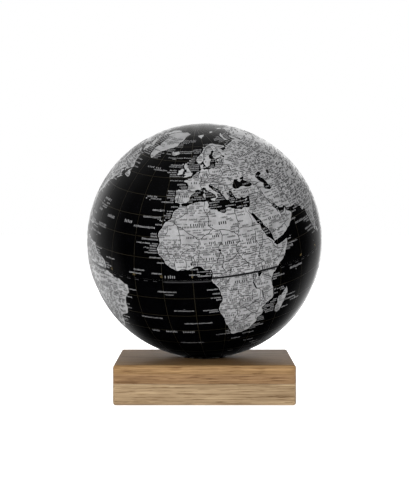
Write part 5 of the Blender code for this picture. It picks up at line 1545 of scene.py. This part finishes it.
def make_boards():
    plate_low, plate_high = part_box("bearing_plate")
    plate_radius = (plate_high.x - plate_low.x) / 2
    low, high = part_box("upper_board")
    joint = [(low.z, JOINT_BREAK), (low.z + JOINT_BREAK, 0.0)]
    profile = [*joint, *groove(GLUE_LINE), *quarter_round(high.z, EDGE, 1)]
    middle = oak("oak_middle_layer", UPPER_DARK, UPPER_LIGHT, (0.05, -0.06), 3.1, (0.94, 0.90, 0.88))
    top = oak("oak_top_layer", UPPER_DARK, UPPER_LIGHT, (-0.12, -0.05), 7.7, (1.0, 0.96, 0.86))
    upper = board("upper_board_oak", "upper_board", profile, (middle, top), GLUE_LINE)
    recess = cutter(plate_radius + LOOSE_FIT, plate_low.z - LOOSE_FIT, high.z + CUTTER_SPARE, 0.0, 0.0)
    cut(upper, [recess])

    low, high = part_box("lower_board")
    profile = [*quarter_round(low.z, EDGE, -1), (high.z - JOINT_BREAK, 0.0), (high.z, JOINT_BREAK)]
    pale = oak("oak_bottom_layer", LOWER_DARK, LOWER_LIGHT, (0.09, 0.11), 5.3)
    lower = board("lower_board_oak", "lower_board", profile, (pale, pale), high.z)
    pockets = []
    for a, b in (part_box(f"foot_pad_{k}") for k in range(1, 5)):
        radius = (b.x - a.x) / 2 + LOOSE_FIT
        pockets.append(cutter(radius, -CUTTER_SPARE, b.z + LOOSE_FIT, (a.x + b.x) / 2, (a.y + b.y) / 2))
    cut(lower, pockets)
    for obj, node in ((upper, "upper_board"), (lower, "lower_board")):
        shade(obj)
        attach(obj, "stand")
        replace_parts(obj, node)
        obj.visible_glossy = False


def dress(nodes, material):
    """Gives CAD nodes a better material."""
    for name in nodes:
        slots = frame["nodes"][name].material_slots
        if not slots:
            frame["nodes"][name].data.materials.append(material)
        for one in slots:
            one.material = material


def satin_plastic(name, color, roughness, shine=0.5):
    """Moulded plastic with a fine satin texture and slight flow marks."""
    made = Shader(name, color, roughness, Specular_IOR_Level=shine)
    flow = made.noise(made.here, 90, detail=3)
    made.color(made.ramp(flow, (0.3, scaled(color, 0.8)), (0.7, scaled(color, 1.2))))
    texture = made.noise(made.here, 2500)
    made.rough(made.ramp(texture, (0.3, roughness - 0.06), (0.7, roughness + 0.06)))
    made.bump(texture, 0.00002)
    return made.material


def polished_steel():
    """Ground steel with faint scratches."""
    made = Shader("polished_steel", (0.60, 0.60, 0.62), 0.18, Metallic=1.0)
    scratches = made.noise(made.stretched((400.0, 6000.0, 400.0)), 1.0)
    made.rough(made.ramp(scratches, (0.3, 0.12), (0.7, 0.26)))
    made.bump(scratches, 0.000003)
    return made.material


def pressed_felt():
    """Dark felt with loose fibres."""
    made = Shader("pressed_felt", (0.03, 0.03, 0.03), 0.95, Sheen_Weight=0.4)
    fibres = made.noise(made.here, 3500, detail=4, roughness=0.8, distortion=2.0)
    made.color(made.ramp(fibres, (0.3, (0.016, 0.016, 0.017)), (0.7, (0.05, 0.05, 0.052))))
    made.bump(fibres, 0.0002)
    return made.material


def make_bearing():
    """The parts under and inside the ball keep their CAD shapes."""
    steel = polished_steel()
    for start, material in (
        ("bearing_plate", satin_plastic("black_satin_plastic", (0.008, 0.008, 0.009), 0.55, 0.15)),
        ("caster_cup", satin_plastic("white_cup_plastic", (0.70, 0.70, 0.67), 0.40)),
        ("retaining_ring", satin_plastic("white_ring_plastic", (0.66, 0.66, 0.63), 0.36)),
        ("support_ball", steel),
        ("plate_screw", steel),
        ("foot_pad", pressed_felt()),
        ("joint_ring", bare_plastic("bare_ring_plastic")),
    ):
        dress([name for name in frame["nodes"] if name.startswith(start)], material)


make_boards()
make_bearing()


# ---------------------------------------------------------------- stage, lights and camera

# The camera: metres behind and above the origin, degrees it looks down, and millimetres of its lens.
CAMERA_BACK = 1.714
CAMERA_HEIGHT = 0.19906
CAMERA_DOWN = 1.65
LENS = 120.49
SENSOR = 36.0


def make_camera():
    data = bpy.data.cameras.new("camera")
    data.lens = LENS
    data.sensor_width = SENSOR
    camera = linked("camera", data)
    camera.location = (0.0, -CAMERA_BACK, CAMERA_HEIGHT)
    camera.rotation_euler = (math.radians(90 - CAMERA_DOWN), 0.0, 0.0)
    bpy.context.scene.camera = camera


def make_floor():
    shape = bmesh.new()
    bmesh.ops.create_grid(shape, x_segments=1, y_segments=1, size=FLOOR_HALF)
    paint = Shader("white_floor", (0.85, 0.85, 0.85), 0.9)
    paint.put(paint.surface.inputs["Emission Color"], (1.0, 1.0, 1.0))
    paint.put(paint.surface.inputs["Emission Strength"], FLOOR_GLOW)
    floor = add_object("floor", finished_mesh("floor", shape), (paint.material,))
    floor.visible_glossy = False


def area_light(name, place_at, size, power):
    """A round soft light aimed at the ball, which shows no reflection of it."""
    data = bpy.data.lights.new(name, "AREA")
    data.shape = "DISK"
    data.size = size
    data.energy = power
    light = linked(name, data)
    light.location = place_at
    light.rotation_euler = (CENTRE - Vector(place_at)).to_track_quat("-Z", "Y").to_euler()
    light.visible_glossy = False
    light.visible_camera = False


def make_world():
    """A white studio: a bright backdrop behind the object, darker towards its front."""
    world = bpy.data.worlds.new("studio")
    sky = Nodes(world)
    sky.tree.nodes.clear()
    direction = sky.add("ShaderNodeSeparateXYZ")
    sky.put(direction.inputs["Vector"], sky.add("ShaderNodeTexCoord").outputs["Generated"])
    x, y, z = direction.outputs

    def by(component, stops):
        return sky.ramp(sky.math("MULTIPLY_ADD", component, 0.5, 0.5), *stops)

    down = sky.math("MULTIPLY", z, -1.0)
    turn = sky.math("ARCTAN2", sky.math("ABSOLUTE", x), down)
    stand = sky.ramp(sky.math("DIVIDE", turn, math.pi), *DARK_BELOW)
    shaded = sky.mix(sky.ramp(down, *STAND_REACH), 1.0, stand)
    across = sky.math("MULTIPLY", by(y, BACKDROP), by(x, SIDE_SHADE))
    lit = sky.math("MULTIPLY", across, sky.math("MULTIPLY", by(z, LOW_SHADE), shaded))
    path = sky.add("ShaderNodeLightPath")
    level = sky.mix(path.outputs["Is Glossy Ray"], FILL, sky.math("ADD", lit, by(z, CEILING)))
    background = sky.add("ShaderNodeBackground")
    sky.put(background.inputs["Color"], (1.0, 1.0, 1.0))
    sky.put(background.inputs["Strength"], sky.mix(path.outputs["Is Camera Ray"], level, 1.0))
    sky.put(sky.add("ShaderNodeOutputWorld").inputs["Surface"], background.outputs[0])
    bpy.context.scene.world = world


# How bright the studio is in reflections. Each position is (component + 1) / 2 of the direction: its y for
# the backdrop, its x for the side shade, and its z for the low shade and the ceiling.
BACKDROP = (
    (0.46, 0.004), (0.52, 0.04), (0.56, 0.08), (0.64, 0.14), (0.72, 0.27), (0.77, 0.38),
    (0.83, 0.63), (0.88, 0.85), (0.92, 1.05), (0.96, 1.0), (0.985, 1.1),
)
SIDE_SHADE = (
    (0.20, 0.80), (0.32, 0.72), (0.44, 0.84), (0.50, 1.0), (0.56, 1.1), (0.635, 1.3),
    (0.67, 0.70), (0.70, 0.56), (0.76, 0.38), (0.88, 0.27), (0.92, 0.15), (0.96, 0.07),
)
LOW_SHADE = ((0.15, 0.05), (0.22, 0.30), (0.30, 0.85), (0.36, 1.0), (0.62, 1.0), (0.70, 0.74), (0.82, 0.62))
CEILING = ((0.50, 0.0), (0.62, 0.008), (0.75, 0.03), (0.83, 0.05))

# The dark stand below the ball, by the share of half a turn away from straight down, seen along y. The
# reach says how far below the horizon it starts.
DARK_BELOW = (
    (0.0, 0.01), (0.085, 0.02), (0.165, 0.14), (0.25, 0.55),
    (0.33, 1.25), (0.42, 1.3), (0.50, 1.05), (0.58, 1.0),
)
STAND_REACH = ((0.02, 0.0), (0.20, 1.0))

# The world's light on rough surfaces, the floor's own, and half the floor's width in metres.
FILL = 0.38
FLOOR_GLOW = 0.75
FLOOR_HALF = 8.0

make_camera()
make_floor()
make_world()
area_light("key", (-0.5, -2.2, 0.60), size=1.0, power=45.0)
area_light("top", (-0.2, -0.2, 2.2), size=1.4, power=26.0)
area_light("back", (0.4, 2.2, 0.8), size=1.4, power=30.0)
bpy.context.scene.view_settings.view_transform = "Standard"
